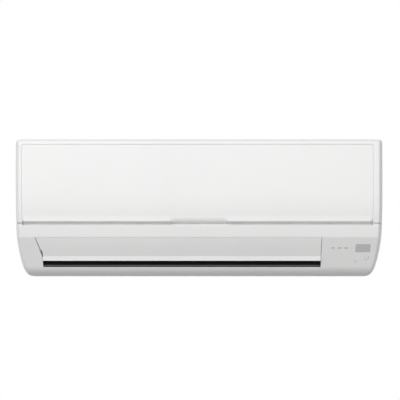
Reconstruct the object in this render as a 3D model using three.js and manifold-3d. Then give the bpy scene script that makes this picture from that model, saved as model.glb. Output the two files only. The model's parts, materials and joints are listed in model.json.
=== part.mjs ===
// A mini split indoor unit: the wall-hung half of a split air conditioner, in millimetres.
// X runs to the right along the wall, Y runs into the wall, Z is up.
// The origin is the middle of the mounting plate's back face, on the wall.
// Sections are drawn as [distance from the wall, height above the underside].
import * as THREE from "three";
import { mergeVertices } from "three/addons/utils/BufferGeometryUtils.js";
import Module from "manifold-3d";

const wasm = await Module();
wasm.setup();

// ---- Driving dimensions ----
const bodyWidth = 770;
const bodyHeight = 290;
const bodyDepth = 205;
const wallThickness = 2.6;
const fitGap = 0.3;
const shellBack = 1.0;
const halfWidth = bodyWidth / 2;
const sheetOverlap = 0.2;
const cutterReach = 1;
const wellBeyond = 10;

// Front shape, from the underside up
const bottomFlatDepth = bodyDepth - 87;
const lipHeight = 22;
const lipDepth = bodyDepth - 47;
const stripBottomHeight = 86;
const stripBottomDepth = bodyDepth - 13;
const stripTopHeight = 109;
const stripTopDepth = bodyDepth - 8;
const panelBottomHeight = 117.5;
const panelBottomDepth = bodyDepth - 6;
const bulgeHeight = bodyHeight - 95;
const cornerWidth = 13;
const cornerDepth = 20;
const lowerCornerWidth = 34;
const lowerCornerHeight = 110;
const topCornerRadius = 5;
const lipCurve = { back: 6, rise: 2 };
const faceCurve = { low: 47, middle: 27, high: 35, belowAxis: 20.2 };

// Front panel and the recess that it closes
const panelLeft = -halfWidth + 17;
const panelRight = halfWidth - 24;
const panelGap = 0.8;
const panelThickness = 2.6;
const panelBarrelRadius = 5;
const panelAxisDepth = bodyDepth - 6.8;
const panelAxisHeight = bodyHeight - 14.8;
const panelPinRadius = 2;
const panelPinLength = 2.6;
const panelPinClearance = 0.35;
const panelCornerRadius = 4;
const notchWidth = 107;
const notchHeight = 6;
const notchRamp = 10;
const recessDepth = bodyDepth - 17;
const recessTop = panelAxisHeight + panelBarrelRadius + panelGap;
const recessCornerRadius = 2;
const windowMargin = 26;
const windowBottomHeight = panelBottomHeight + 8.5;
const windowTopHeight = bodyHeight - 22;
const windowRibWidth = 12;
const windowCornerRadius = 8;

// Intake grille in the top
const grilleHalfWidth = halfWidth - 47;
const grilleBackDepth = 30;
const grilleFrontDepth = bodyDepth - 39;
const grilleThickness = 7;
const grilleRim = 6;
const grilleSlat = 3.2;
const grilleSlatCount = 9;
const grilleRibCount = 3;
const grilleRibWidth = 3;

// Air outlet
const outletLeftTop = halfWidth - 42;
const outletLeftBottom = halfWidth - 56;
const outletRight = halfWidth - 127;
const outletKneeHeight = lipHeight + 20;
const outletCutBack = bottomFlatDepth + 20;

// Display, lamps, button and frame screw, on the slanted face at the right
const windowLens = { x: halfWidth - 42, height: 62.5, width: 30, tall: 19, radius: 2 };
const lampLens = { firstX: halfWidth - 105, pitch: 14, count: 3, height: 63, width: 6, tall: 3, radius: 1 };
const autoButton = { x: halfWidth - 56, height: 34, radius: 2.6, length: 9, proud: 0.4, travel: 1.2 };
const buttonFlange = { rim: 1.6, thickness: 1.2 };
const frameScrew = { x: halfWidth - 33, height: 41.5, radius: 4.2 };
const lensGap = 0.3;
const lensSink = 0.2;
const lensDepth = 1;
const slantCut = 8;
const boardBehindFace = 5;
const boardThickness = 1.6;
const displayBoardWidth = 100;
const displayBoardEnd = 15;
const boardRim = 2;
const receiverSize = { width: 10, tall: 8, rise: 1 };

// Chassis
const chassisBack = 6;
const chassisWall = 3;
const chassisInset = 5.4;
const chassisTopInset = 6;
const sideWallLeft = -halfWidth + 53;
const sideWallRight = halfWidth - 126;
const sideWallFront = bodyDepth - 56;
const sideWallTop = bodyHeight - 94;
const channelHalfWidth = halfWidth - 55;
const channelBottom = 14;
const pipeChannelTop = 64;
const pipeChannelDepth = 36;
const hookSideGap = 2;
const hookDrop = 9;
const screwTower = { height: 38, radius: 5, front: lipDepth - 2, bore: 24 };
const screwSize = { shankRadius: 1.8, headRadius: 3.4, headLength: 2.5 };

// Fan and its scroll
const fanDepth = bodyDepth - 113;
const fanHeight = 128;
const fanRadius = 46;
const fanLeft = sideWallLeft + 14;
const fanRight = sideWallRight - 15;
const fanDiscThickness = 2.4;
const fanDiscCount = 4;
const fanBladeCount = 20;
const fanBladeThickness = 1.4;
const fanBladeChord = 13;
const fanBladeLean = 0.2;
const fanBladeBow = 1.9;
const fanBladeInset = 1.2;
const fanHubRadius = 13;
const fanHubLength = 22;
const fanHubReach = 3;
const fanBossRadius = 9;
const fanBossLength = 14;
const fanHubWall = 3;
const fanStubReach = 12;
const fanShaftRadius = 4;
const fanStubRadius = 3;
const shaftClearance = 0.35;
const scrollStartAngle = 150;
const scrollEndAngle = 252;
const scrollStartGap = 5;
const scrollGrowth = 0.165;
const scrollThickness = 3;
const floorFrontDepth = lipDepth - 3.4;
const floorFrontHeight = lipHeight + 4.2;
const troughTop = 192;
const troughLip = 184;
const troughWidth = 3;

// Motor, its rings, cradle and clamp, and the bearing at the other end
const motorLeft = sideWallRight + 7;
const motorLength = 58;
const motorRadius = 41;
const motorEdge = 4;
const motorSeam = { rise: 2, half: 2 };
const motorNeckRadius = 15;
const motorBoreLength = 20;
const motorRingRadius = 21;
const motorRingLength = 9;
const motorRingInset = 0.8;
const cradleThickness = 6;
const cradleBottom = 62;
const cradleBaseThickness = 4;
const cradleHalfWidth = 32;
const cradleFoot = { low: 70, high: 150, base: 66, under: 61, back: 40, front: 4 };
const clampThickness = 2;
const clampWidth = 18;
const clampClearance = 0.5;
const clampFoot = { length: 10, thickness: 3.7 };
const bearingRadius = 12;
const bearingLength = 9;
const bearingFlange = { length: 4.2, step: 4 };

// Flap
const flapGap = 1.3;
const flapBottomHeight = lipHeight + 16;
const flapThickness = 3;
const flapBulge = 2.2;
const flapEndGap = 0.8;
const flapKneeHeight = lipHeight + 31;
const flapAxisDepth = lipDepth - 1;
const flapAxisHeight = lipHeight + 28;
const flapArmThickness = 3;
const flapArmRadius = 5.5;
const flapArmWeb = { low: 47, high: 66, sink: 1.2, back: 3, rise: 4.5, front: 2, drop: 5 };
const flapPinRadius = 2.5;
const flapRight = outletRight - 2.5;
const flapArmInset = 9;
const flapBushWall = 1.6;
const flapBushRadius = flapPinRadius + shaftClearance + flapBushWall;
const bushInset = 0.6;
const centreBracketThickness = 3;
const centreBracketRadius = 5.4;
const centreBracketFoot = { back: 36.6, front: 20 };
const centreBracketNeck = { back: 3, rise: 4.5, low: 3.5, drop: 4.1 };
const flapMotorRadius = 12;
const flapMotorLength = 18;
const flapMotorOffset = { depth: 6, height: 4 };
const flapMotorEar = { reach: 17, half: 3, thickness: 2.4, corner: 2.9 };

// Vanes across the outlet
const vaneCount = 10;
const vanesPerGroup = 5;
const vaneEndMargin = 45;
const vaneFarMargin = 42;
const vaneFirstX = sideWallLeft + vaneEndMargin;
const vanePitch = (sideWallRight - vaneFarMargin - vaneFirstX) / (vaneCount - 1);
const centreBracketX = vaneFirstX + (vanesPerGroup - 0.5) * vanePitch;
const vaneRootDepth = lipDepth - 39;
const vaneFlowAngle = 24.5;
const vaneBack = 17;
const vaneFront = 11;
const vaneHeight = 44;
const vaneThickness = 1.6;
const vaneSeat = 0.5;
const vanePinRadius = 1.8;
const vanePinLength = 2.2;
const vaneArm = 12;
const vanePegRadius = 1.2;
const vanePegLength = 4;
const vaneBarWidth = 11;
const vaneBarThickness = 2.4;
const vaneBarGap = 0.5;
const vaneBarEdge = 1.2;
const vaneBarSlotWidth = 3.4;
const vaneBarSlotLength = 6;
const vaneBarOverhang = 9;
const vaneBarTab = { half: 6, reach: 9 };

// Heat exchanger: each slab's middle line runs from start to end, as [distance from the wall, height]
const coilThickness = 24;
const coilLeft = sideWallLeft + 12;
const coilRight = sideWallRight - 15;
const coilPlateThickness = 1.2;
const coilPlateMargin = 1.4;
const coilTubeRadius = 3.5;
const coilTubeSides = 6;
const coilTubeClearance = 0.2;
const coilHoleSides = 6;
const coilRowPitch = 12;
const coilBendSteps = 3;
const coilTubeOverhang = 7;
const coilTail = 5;
const coilLug = { bottom: 128, top: 146 };
const coilTop = bodyHeight - 34;
const coilBottom = 104.5;
const lowerSlab = { start: [bodyDepth - 38, coilBottom], end: [bodyDepth - 38, bodyHeight - 102], tubes: 3 };
const upperSlab = { start: [bodyDepth - 41.5, bodyHeight - 93.5], end: [fanDepth + 15, coilTop], tubes: 3 };
const rearSlab = { start: [fanDepth - 10, coilTop], end: [31, troughTop + 17.5], tubes: 3 };
const coilEndLeft = coilLeft - coilPlateThickness - 2;
const coilEndRight = coilRight + coilPlateThickness + 2;
const coilTailEnd = coilEndRight + coilTail;

// Drain pan, its spouts and plug
const panEndThickness = 2;
const panEndInset = 0.4;
const spout = { depth: bodyDepth - 37, height: coilBottom - 4.9, outerRadius: 6, boreRadius: 4, length: 16 };
const drainPlugSize = { headRim: 0.8, headLength: 4, stemLength: 9 };

// Pipes, in the channel behind the unit
const gasPipe = { radius: 4.8, x: halfWidth - 46.5, level: 110, height: 46, nutRadius: 10, nutLength: 20 };
const liquidPipe = { radius: 3.2, x: halfWidth - 23, level: 110, height: 24, nutRadius: 8, nutLength: 16 };
const pipeDepth = 21;
const pipeEndX = halfWidth - 159;
const pipeBend = 16;
const pipeRun = { straight: 16, drop: 30 };
const nutNeck = { share: 0.75, length: 5 };
const nutClearance = 0.8;
const pipeClampX = halfWidth - 85;
const pipeClampWidth = 9;
const pipeClampEdge = { low: 8, high: 9, back: 2 };

// Air filters
const filterThickness = 0.8;
const filterRibThickness = 2.2;
const filterRibWidth = 3;
const filterRibCount = 3;
const filterLeft = sideWallLeft + 10;
const filterRight = sideWallRight - 9;
const filterMiddle = (filterLeft + filterRight) / 2;
const filterMiddleGap = 4;
const filterFront = recessDepth - 5.8;
const filterBottom = coilBottom + 3.5;
const filterBarRise = 44;
const filterTab = { half: 16, drop: 4, rise: 8, offset: 24 };
const filterTurn = { low: 94, high: 76, depth: 30 };
const filterCrown = { low: 25, high: 14, front: 77, back: 99 };
const filterEnd = { depth: grilleBackDepth + 6, drop: 11 };

// Control box at the right end
const controlBox = {
  left: sideWallRight + chassisWall + fitGap,
  right: halfWidth - 12,
  back: bodyDepth - 65,
  front: bodyDepth - 22,
  bottom: 130,
  top: bodyHeight - 28,
  wall: 2,
  cornerRadius: 3,
};
const coverThickness = 1.2;
const coverRib = { inset: 14, rise: 16, thickness: 2 };
const leadGap = { back: 12, bottom: 40, top: 60 };
const mainBoard = { rise: 30, drop: 8, standOff: 5, thickness: 1.6, inset: 6 };
const boardPost = { inset: 12, rise: 6, radius: 3 };
const relay = { count: 3, pitch: 16, width: 12, tall: 19, rise: 12, height: 15, inset: 14 };
const transformer = { left: 16, right: 50, top: 14, bottom: 44, height: 26 };
const capacitor = { inset: 27, drop: 20, radius: 9 };
const socket = { count: 4, pitch: 13, tall: 8, inset: 30, width: 16, rise: 10, height: 9 };
const terminalBlock = { left: controlBox.left + 27.7, right: controlBox.right - 27, height: 18, depth: 20 };
const terminalWays = 4;
const terminalRise = 4;
const terminalWell = { share: 0.36, depth: 8, rise: 3 };

// Mounting plate
const plateHalfWidth = 225;
const plateBottom = 74;
const plateTop = bodyHeight - 28;
const plateThickness = 1.2;
const plateCornerRadius = 8;
const plateHoleRadius = 3.2;
const plateHoleColumns = [-184, -69, 69, 184];
const plateHoleRows = [96, bodyHeight - 64];
const plateWindow = { near: 45, far: 185, bottom: 128, top: 172, radius: 6 };
const swageHeights = [106, 190];
const swageWidth = 12;
const swageInset = 20;
const hookX = 170;
const hookWidth = 34;
const hookHeight = bodyHeight - 44;
const hookThickness = 2;
const hookRise = 9;

const wallNormal = new THREE.Vector3(0, -1, 0);
const rightward = new THREE.Vector3(1, 0, 0);
const upward = new THREE.Vector3(0, 0, 1);
const intoWall = new THREE.Vector3(0, 1, 0);

// ---- Materials ----
function plastic(color, roughness) {
  return new THREE.MeshStandardMaterial({ color, roughness, metalness: 0 });
}

function metal(color, roughness) {
  return new THREE.MeshStandardMaterial({ color, roughness, metalness: 1 });
}

const whitePlastic = plastic(0xeeeeec, 0.35);
const innerPlastic = plastic(0x2b2c2e, 0.5);
const blackPlastic = plastic(0x1c1d1f, 0.55);
const greyPlastic = plastic(0x8f9294, 0.45);
const windowPlastic = plastic(0xb4b6b8, 0.2);
const meshPlastic = plastic(0x3c4044, 0.7);
const rubber = plastic(0x202122, 0.85);
const circuitGreen = plastic(0x2e6b45, 0.5);
const steel = metal(0xc3c6c8, 0.4);
const aluminium = metal(0xcfd2d4, 0.45);
const copper = metal(0xb8734d, 0.35);
const brass = metal(0xc2a25a, 0.35);

// ---- Solids ----
function solidOf(geometry) {
  const bare = new THREE.BufferGeometry();
  const source = geometry.index ? geometry.toNonIndexed() : geometry;
  bare.setAttribute("position", source.getAttribute("position"));
  const merged = mergeVertices(bare, 1e-4);
  const vertProperties = new Float32Array(merged.attributes.position.array);
  const triVerts = new Uint32Array(merged.index.array);
  return new wasm.Manifold(new wasm.Mesh({ numProp: 3, vertProperties, triVerts }));
}

function geometryOf(solid) {
  const mesh = solid.getMesh();
  const geometry = new THREE.BufferGeometry();
  geometry.setAttribute("position", new THREE.BufferAttribute(mesh.vertProperties, 3));
  geometry.setIndex(new THREE.BufferAttribute(mesh.triVerts, 1));
  geometry.computeVertexNormals();
  return geometry;
}

function join(first, ...others) {
  return others.reduce((whole, piece) => whole.add(piece), first);
}

function cut(first, ...tools) {
  return tools.reduce((whole, tool) => whole.subtract(tool), first);
}

// ---- Outlines: points are [distance from the wall, height] unless a name says otherwise ----
function sectionShape(points) {
  return new THREE.Shape(points.map(([d, z]) => new THREE.Vector2(-d, z - bodyHeight / 2)));
}

function frontShape(points) {
  return new THREE.Shape(points.map(([x, z]) => new THREE.Vector2(x, z - bodyHeight / 2)));
}

function boxShape(x0, x1, y0, y1, radius = 0) {
  const shape = new THREE.Shape();
  if (radius === 0) {
    shape.moveTo(x0, y0).lineTo(x1, y0).lineTo(x1, y1).lineTo(x0, y1);
    return shape;
  }
  shape.moveTo(x0 + radius, y0).lineTo(x1 - radius, y0);
  shape.absarc(x1 - radius, y0 + radius, radius, -Math.PI / 2, 0);
  shape.absarc(x1 - radius, y1 - radius, radius, 0, Math.PI / 2);
  shape.absarc(x0 + radius, y1 - radius, radius, Math.PI / 2, Math.PI);
  shape.absarc(x0 + radius, y0 + radius, radius, Math.PI, Math.PI * 1.5);
  return shape;
}

function discShape(x, y, radius) {
  return new THREE.Shape().absarc(x, y, radius, 0, Math.PI * 2);
}

function extruded(shape, length, curveSegments = 4) {
  return new THREE.ExtrudeGeometry(shape, { depth: length, bevelEnabled: false, curveSegments });
}

// A section drawn in the depth-height plane, run along X.
function alongX(shape, x0, x1, curveSegments) {
  const geometry = extruded(shape, x1 - x0, curveSegments);
  const turn = new THREE.Matrix4().makeBasis(intoWall, upward, rightward);
  return solidOf(geometry.applyMatrix4(turn.setPosition(x0, 0, 0)));
}

// A front view, run from one distance from the wall to another.
function alongDepth(shape, d0, d1, curveSegments) {
  const geometry = extruded(shape, d1 - d0, curveSegments);
  const turn = new THREE.Matrix4().makeBasis(rightward, upward, wallNormal);
  return solidOf(geometry.applyMatrix4(turn.setPosition(0, -d0, 0)));
}

function sectionRun(points, x0, x1) {
  return alongX(sectionShape(points), x0, x1);
}

function frontRun(points, d0, d1) {
  return alongDepth(frontShape(points), d0, d1);
}

function block(x0, x1, d0, d1, z0, z1, radius = 0) {
  const z = bodyHeight / 2;
  return alongDepth(boxShape(x0, x1, z0 - z, z1 - z, radius), d0, d1, 3);
}

// A round bar along X; the disc's first flat stays level, so rods and bores of one count of sides nest.
function rodAlongX(radius, x0, x1, d, z, segments = 12) {
  return alongX(discShape(-d, z - bodyHeight / 2, radius), x0, x1, segments);
}

function rodAlongDepth(radius, x, z, d0, d1, segments = 12) {
  return alongDepth(discShape(x, z - bodyHeight / 2, radius), d0, d1, segments);
}

// ---- The outer form ----
function frontProfile() {
  const path = new THREE.Path();
  const faceDepth = panelAxisDepth + panelBarrelRadius;
  const crown = bodyHeight - panelAxisHeight;
  path.moveTo(bottomFlatDepth, 0);
  path.quadraticCurveTo(lipDepth - lipCurve.back, lipCurve.rise, lipDepth, lipHeight);
  path.lineTo(stripBottomDepth, stripBottomHeight);
  path.lineTo(stripTopDepth, stripTopHeight);
  path.lineTo(panelBottomDepth, panelBottomHeight);
  const { low, middle, high, belowAxis } = faceCurve;
  const lowBend = [bodyDepth - 0.5, bulgeHeight - low];
  const highBend = [faceDepth + 0.4, panelAxisHeight - belowAxis];
  path.bezierCurveTo(...lowBend, bodyDepth, bulgeHeight - middle, bodyDepth, bulgeHeight);
  path.bezierCurveTo(bodyDepth, bulgeHeight + high, ...highBend, faceDepth, panelAxisHeight);
  path.quadraticCurveTo(faceDepth, bodyHeight - 2, faceDepth - crown, bodyHeight);
  return path.getPoints(4);
}

// The front profile moved inwards by a wall, square to itself.
function insetProfile(inset) {
  const points = frontProfile();
  const last = points.length - 1;
  const moved = points.map((point, i) => {
    const before = points[Math.max(0, i - 1)];
    const after = points[Math.min(last, i + 1)];
    const along = after.clone().sub(before).normalize();
    const inward = new THREE.Vector2(-along.y, along.x);
    const shifted = point.clone().addScaledVector(inward, inset);
    shifted.y = Math.min(bodyHeight - inset, Math.max(inset, shifted.y));
    return shifted;
  });
  moved[0].y = inset;
  moved[last].y = bodyHeight - inset;
  return moved;
}

function interpolate(points, height) {
  const above = points.findIndex((point) => point.y >= height);
  if (above <= 0) return points[above === 0 ? 0 : points.length - 1].x;
  const low = points[above - 1];
  const high = points[above];
  return low.x + ((high.x - low.x) * (height - low.y)) / (high.y - low.y);
}

function quarterRound(share) {
  return 1 - Math.sqrt(Math.max(0, 1 - share * share));
}

function halfWidthAt(height) {
  const drop = Math.max(0, (lowerCornerHeight - height) / lowerCornerHeight);
  const rise = Math.max(0, (height - bodyHeight + topCornerRadius) / topCornerRadius);
  return halfWidth - lowerCornerWidth * quarterRound(drop) - topCornerRadius * quarterRound(rise);
}

function stationHeights(profile, inset) {
  const low = inset;
  const high = bodyHeight - inset;
  const heights = profile.map((point) => point.y);
  const lowerSteps = 5;
  for (let step = 1; step < lowerSteps; step += 1) {
    const share = Math.cos((step / lowerSteps) * (Math.PI / 2));
    heights.push(low + (lowerCornerHeight - low) * (1 - share));
  }
  const upperSteps = 3;
  for (let step = 0; step < upperSteps; step += 1) {
    const share = Math.sin((step / upperSteps) * (Math.PI / 2));
    heights.push(high - topCornerRadius * (1 - share));
  }
  const least = 0.8;
  const sorted = heights.filter((height) => height > low + least && height < high - least);
  sorted.sort((a, b) => a - b);
  const spaced = [low];
  sorted.forEach((height) => {
    if (height - spaced.at(-1) > least) spaced.push(height);
  });
  return [...spaced, high];
}

// The moulded outer form, drawn in by a wall on the front, sides, top and underside.
// A rounded plan is run up in steps, and each step is set to the width and depth of its height.
function outerForm(inset, back, curveSegments = 3) {
  const half = halfWidth - inset;
  const cornerX = halfWidth - cornerWidth;
  const cornerY = -(bodyDepth - cornerDepth);
  const radii = [cornerWidth - inset, cornerDepth - inset];
  const plan = new THREE.Shape();
  plan.moveTo(-half, -back);
  plan.lineTo(-half, cornerY);
  plan.absellipse(-cornerX, cornerY, ...radii, Math.PI, Math.PI * 1.5);
  plan.absellipse(cornerX, cornerY, ...radii, -Math.PI / 2, 0);
  plan.lineTo(half, -back);
  const profile = insetProfile(inset);
  const heights = stationHeights(profile, inset);
  const steps = heights.length - 1;
  const options = { depth: steps, steps, bevelEnabled: false, curveSegments };
  const geometry = new THREE.ExtrudeGeometry(plan, options);
  const position = geometry.attributes.position;
  for (let i = 0; i < position.count; i += 1) {
    const height = heights[Math.round(position.getZ(i))];
    const x = position.getX(i);
    const y = position.getY(i);
    const narrowing = halfWidth - halfWidthAt(height);
    const setBack = bodyDepth - inset - interpolate(profile, height);
    const isBackEdge = Math.abs(y + back) < 1e-3;
    position.setX(i, x - Math.sign(x) * narrowing);
    position.setY(i, isBackEdge ? y : y + setBack);
    position.setZ(i, height - bodyHeight / 2);
  }
  return solidOf(geometry);
}

// The slanted face below the strip, where the flap, the cheeks and the display lie.
function slantDepthAt(height) {
  const slope = (stripBottomDepth - lipDepth) / (stripBottomHeight - lipHeight);
  return lipDepth + (height - lipHeight) * slope;
}

const slantRun = new THREE.Vector2(
  stripBottomDepth - lipDepth,
  stripBottomHeight - lipHeight,
).normalize();

// A point set in from the slanted face, at a height measured on the face.
function behindSlant(height, inward) {
  return [slantDepthAt(height) - slantRun.y * inward, height + slantRun.x * inward];
}

// A prism across the slanted face: a front view on the face, run from one depth behind it to another.
function throughSlant(shape, x, height, inner, outer, curveSegments = 4) {
  const geometry = extruded(shape, outer - inner, curveSegments);
  const up = new THREE.Vector3(0, -slantRun.x, slantRun.y);
  const outward = new THREE.Vector3(0, -slantRun.y, -slantRun.x);
  const place = new THREE.Matrix4().makeBasis(rightward, up, outward);
  const [d, z] = behindSlant(height, -inner);
  return solidOf(geometry.applyMatrix4(place.setPosition(x, -d, z - bodyHeight / 2)));
}

// ---- Casing ----
// The outlet's opening, whose left edge leans outwards above a knee.
function outletCutter() {
  const points = [
    [-outletLeftBottom, lipHeight],
    [outletRight, lipHeight],
    [outletRight, stripBottomHeight],
    [-outletLeftTop, stripBottomHeight],
    [-outletLeftBottom, outletKneeHeight],
  ];
  return frontRun(points, outletCutBack, bodyDepth + wellBeyond);
}

function frameCavity(left, right) {
  const wall = wallThickness;
  const around = block(
    left - wall,
    right + wall,
    recessDepth - wall,
    bodyDepth + wellBeyond,
    stripTopHeight - wall,
    recessTop + wall,
  );
  return cut(outerForm(wall, -wellBeyond, 2), around);
}

// The two windows behind the panel, where the air filters lie.
function filterWindows(left) {
  const windowLeft = left + windowMargin;
  const windowRight = outletRight - windowRibWidth;
  const middle = (windowLeft + windowRight) / 2;
  const halfRib = windowRibWidth / 2;
  const spans = [
    [windowLeft, middle - halfRib],
    [middle + halfRib, windowRight],
  ];
  return spans.map(([x0, x1]) =>
    block(
      x0,
      x1,
      recessDepth - 2 * wallThickness,
      recessDepth + wallThickness,
      windowBottomHeight,
      windowTopHeight,
      windowCornerRadius,
    ),
  );
}

function intakeCutter() {
  const top = bodyHeight + wallThickness;
  const bottom = bodyHeight - 2 * wallThickness;
  return block(-grilleHalfWidth, grilleHalfWidth, grilleBackDepth, grilleFrontDepth, bottom, top);
}

function panelPinHoles(left, right) {
  const reach = panelPinLength + fitGap;
  const radius = panelPinRadius + panelPinClearance;
  return [
    rodAlongX(radius, left - reach, left + cutterReach, panelAxisDepth, panelAxisHeight),
    rodAlongX(radius, right - cutterReach, right + reach, panelAxisDepth, panelAxisHeight),
  ];
}

function plateShape(width, tall, radius = 0) {
  return boxShape(-width / 2, width / 2, -tall / 2, tall / 2, radius);
}

// Holes through the slanted face for the display window, the lamps, the button and the screw cap.
function faceHoles() {
  const grow = 2 * lensGap;
  const lensHole = plateShape(windowLens.width + grow, windowLens.tall + grow, windowLens.radius);
  const lampHole = plateShape(lampLens.width + grow, lampLens.tall + grow);
  const buttonHole = discShape(0, 0, autoButton.radius + lensGap);
  const screwHole = discShape(0, 0, frameScrew.radius + lensGap);
  const holes = [
    throughSlant(lensHole, windowLens.x, windowLens.height, -slantCut, slantCut),
    throughSlant(buttonHole, autoButton.x, autoButton.height, -slantCut, slantCut),
    throughSlant(screwHole, frameScrew.x, frameScrew.height, -slantCut, slantCut),
  ];
  for (let i = 0; i < lampLens.count; i += 1) {
    holes.push(throughSlant(lampHole, lampX(i), lampLens.height, -slantCut, slantCut));
  }
  return holes;
}

function frontFrame() {
  const left = panelLeft - panelGap;
  const right = panelRight + panelGap;
  const beyond = bodyDepth + wellBeyond;
  const recess = block(left, right, recessDepth, beyond, stripTopHeight, recessTop, recessCornerRadius);
  const cavity = frameCavity(left, right);
  const shell = cut(outerForm(0, shellBack), cavity, recess, outletCutter(), intakeCutter());
  return cut(shell, ...filterWindows(left), ...panelPinHoles(left, right), ...faceHoles());
}

function lampX(i) {
  return lampLens.firstX + i * lampLens.pitch;
}

// The panel seen from the front, with the shallow notch in the middle of its lower edge.
function panelOutline() {
  const z = bodyHeight / 2;
  const bottom = panelBottomHeight - z;
  const top = panelAxisHeight - z;
  const radius = panelCornerRadius;
  const rampOut = notchWidth / 2 + notchRamp / 2;
  const rampIn = notchWidth / 2 - notchRamp / 2;
  const rampMiddle = notchWidth / 2;
  const notchTop = bottom + notchHeight;
  const outline = new THREE.Shape();
  outline.moveTo(panelLeft + radius, bottom);
  outline.lineTo(-rampOut, bottom);
  outline.bezierCurveTo(-rampMiddle, bottom, -rampMiddle, notchTop, -rampIn, notchTop);
  outline.lineTo(rampIn, notchTop);
  outline.bezierCurveTo(rampMiddle, notchTop, rampMiddle, bottom, rampOut, bottom);
  outline.lineTo(panelRight - radius, bottom);
  outline.absarc(panelRight - radius, bottom + radius, radius, -Math.PI / 2, 0);
  outline.lineTo(panelRight, top);
  outline.lineTo(panelLeft, top);
  outline.absarc(panelLeft + radius, bottom + radius, radius, Math.PI, Math.PI * 1.5);
  return outline;
}

function frontPanel() {
  const back = panelAxisDepth - panelBarrelRadius;
  const rim = panelThickness;
  const tray = alongDepth(panelOutline(), back, bodyDepth + wellBeyond, 3).intersect(outerForm(0, shellBack));
  const hollow = block(
    panelLeft + rim,
    panelRight - rim,
    back - cutterReach,
    bodyDepth,
    panelBottomHeight + notchHeight + rim,
    panelAxisHeight - panelBarrelRadius,
  ).intersect(outerForm(rim, shellBack, 2));
  const barrel = rodAlongX(panelBarrelRadius, panelLeft, panelRight, panelAxisDepth, panelAxisHeight, 16);
  const reach = panelPinLength + panelGap;
  const pinEnds = [panelLeft - reach, panelRight + reach];
  const pins = rodAlongX(panelPinRadius, ...pinEnds, panelAxisDepth, panelAxisHeight);
  return join(cut(tray, hollow), barrel, pins);
}

function intakeGrille() {
  const half = grilleHalfWidth - fitGap;
  const back = grilleBackDepth + fitGap;
  const front = grilleFrontDepth - fitGap;
  const top = bodyHeight;
  const bottom = top - grilleThickness;
  const innerHalf = half - grilleRim;
  const bayWidth = (2 * innerHalf - grilleRibCount * grilleRibWidth) / (grilleRibCount + 1);
  const openDepth = front - back - 2 * grilleRim - (grilleSlatCount - 1) * grilleSlat;
  const gap = openDepth / grilleSlatCount;
  let grille = block(-half, half, back, front, bottom, top);
  for (let bay = 0; bay <= grilleRibCount; bay += 1) {
    const x0 = -innerHalf + bay * (bayWidth + grilleRibWidth);
    for (let slot = 0; slot < grilleSlatCount; slot += 1) {
      const d0 = back + grilleRim + slot * (gap + grilleSlat);
      const slit = block(x0, x0 + bayWidth, d0, d0 + gap, bottom - cutterReach, top + cutterReach);
      grille = grille.subtract(slit);
    }
  }
  return grille;
}

function displayWindow() {
  const outline = plateShape(windowLens.width, windowLens.tall, windowLens.radius);
  const back = -wallThickness - lensDepth;
  return throughSlant(outline, windowLens.x, windowLens.height, back, -lensSink, 3);
}

function lampLensSolid(i) {
  const outline = plateShape(lampLens.width, lampLens.tall, lampLens.radius);
  const back = -wallThickness - lensDepth;
  return throughSlant(outline, lampX(i), lampLens.height, back, 0, 1);
}

function displayBoard() {
  const middleX = lampX(0) - displayBoardEnd + displayBoardWidth / 2;
  const inner = -boardBehindFace - boardThickness;
  const outline = plateShape(displayBoardWidth, windowLens.tall + boardRim);
  const board = throughSlant(outline, middleX, windowLens.height, inner, -boardBehindFace, 3);
  const { width, tall, rise } = receiverSize;
  const back = -boardBehindFace - boardThickness / 2;
  const front = rise - boardBehindFace;
  const receiver = throughSlant(plateShape(width, tall), windowLens.x, windowLens.height, back, front, 3);
  return board.add(receiver);
}

function autoButtonSolid() {
  const { x, height, radius, length, proud } = autoButton;
  const stem = throughSlant(discShape(0, 0, radius), x, height, -length, proud, 3);
  const seat = -wallThickness - fitGap;
  const flange = discShape(0, 0, radius + buttonFlange.rim);
  return stem.add(throughSlant(flange, x, height, seat - buttonFlange.thickness, seat, 3));
}

function frameScrewCap() {
  const disc = discShape(0, 0, frameScrew.radius);
  return throughSlant(disc, frameScrew.x, frameScrew.height, -wallThickness, -lensSink, 3);
}

// ---- Mounting plate ----
// A stiffening swage, pressed forward until it bears on the chassis back, and hollow behind.
function plateSwage(height) {
  const end = plateHalfWidth - swageInset;
  const front = chassisBack - fitGap;
  const wall = plateThickness;
  const raised = block(-end, end, 0, front, height, height + swageWidth);
  const low = height + wall;
  const high = height + swageWidth - wall;
  const pressed = block(-end + wall, end - wall, -cutterReach, front - wall, low, high);
  return { raised, pressed };
}

// A hook that the chassis back plate hangs on, with its tip in front of that plate.
function plateHook(x) {
  const left = x - hookWidth / 2;
  const right = x + hookWidth / 2;
  const tipBack = chassisBack + chassisWall + fitGap;
  const tipFront = tipBack + plateThickness;
  const stemBack = plateThickness - sheetOverlap;
  const stem = block(left, right, stemBack, tipFront, hookHeight, hookHeight + hookThickness);
  const tip = block(left, right, tipBack, tipFront, hookHeight, hookHeight + hookRise);
  return stem.add(tip);
}

function mountingPlate() {
  const z = bodyHeight / 2;
  const low = plateBottom - z;
  const high = plateTop - z;
  const outline = boxShape(-plateHalfWidth, plateHalfWidth, low, high, plateCornerRadius);
  for (const column of plateHoleColumns) {
    for (const row of plateHoleRows) {
      outline.holes.push(discShape(column, row - z, plateHoleRadius));
    }
  }
  const { near, far, bottom, top, radius } = plateWindow;
  outline.holes.push(boxShape(-far, -near, bottom - z, top - z, radius));
  outline.holes.push(boxShape(near, far, bottom - z, top - z, radius));
  const sheet = alongDepth(outline, 0, plateThickness, 3);
  const swages = swageHeights.map(plateSwage);
  const hooks = [-hookX, hookX].map(plateHook);
  const raised = join(sheet, ...swages.map((swage) => swage.raised), ...hooks);
  return cut(raised, ...swages.map((swage) => swage.pressed));
}

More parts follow.
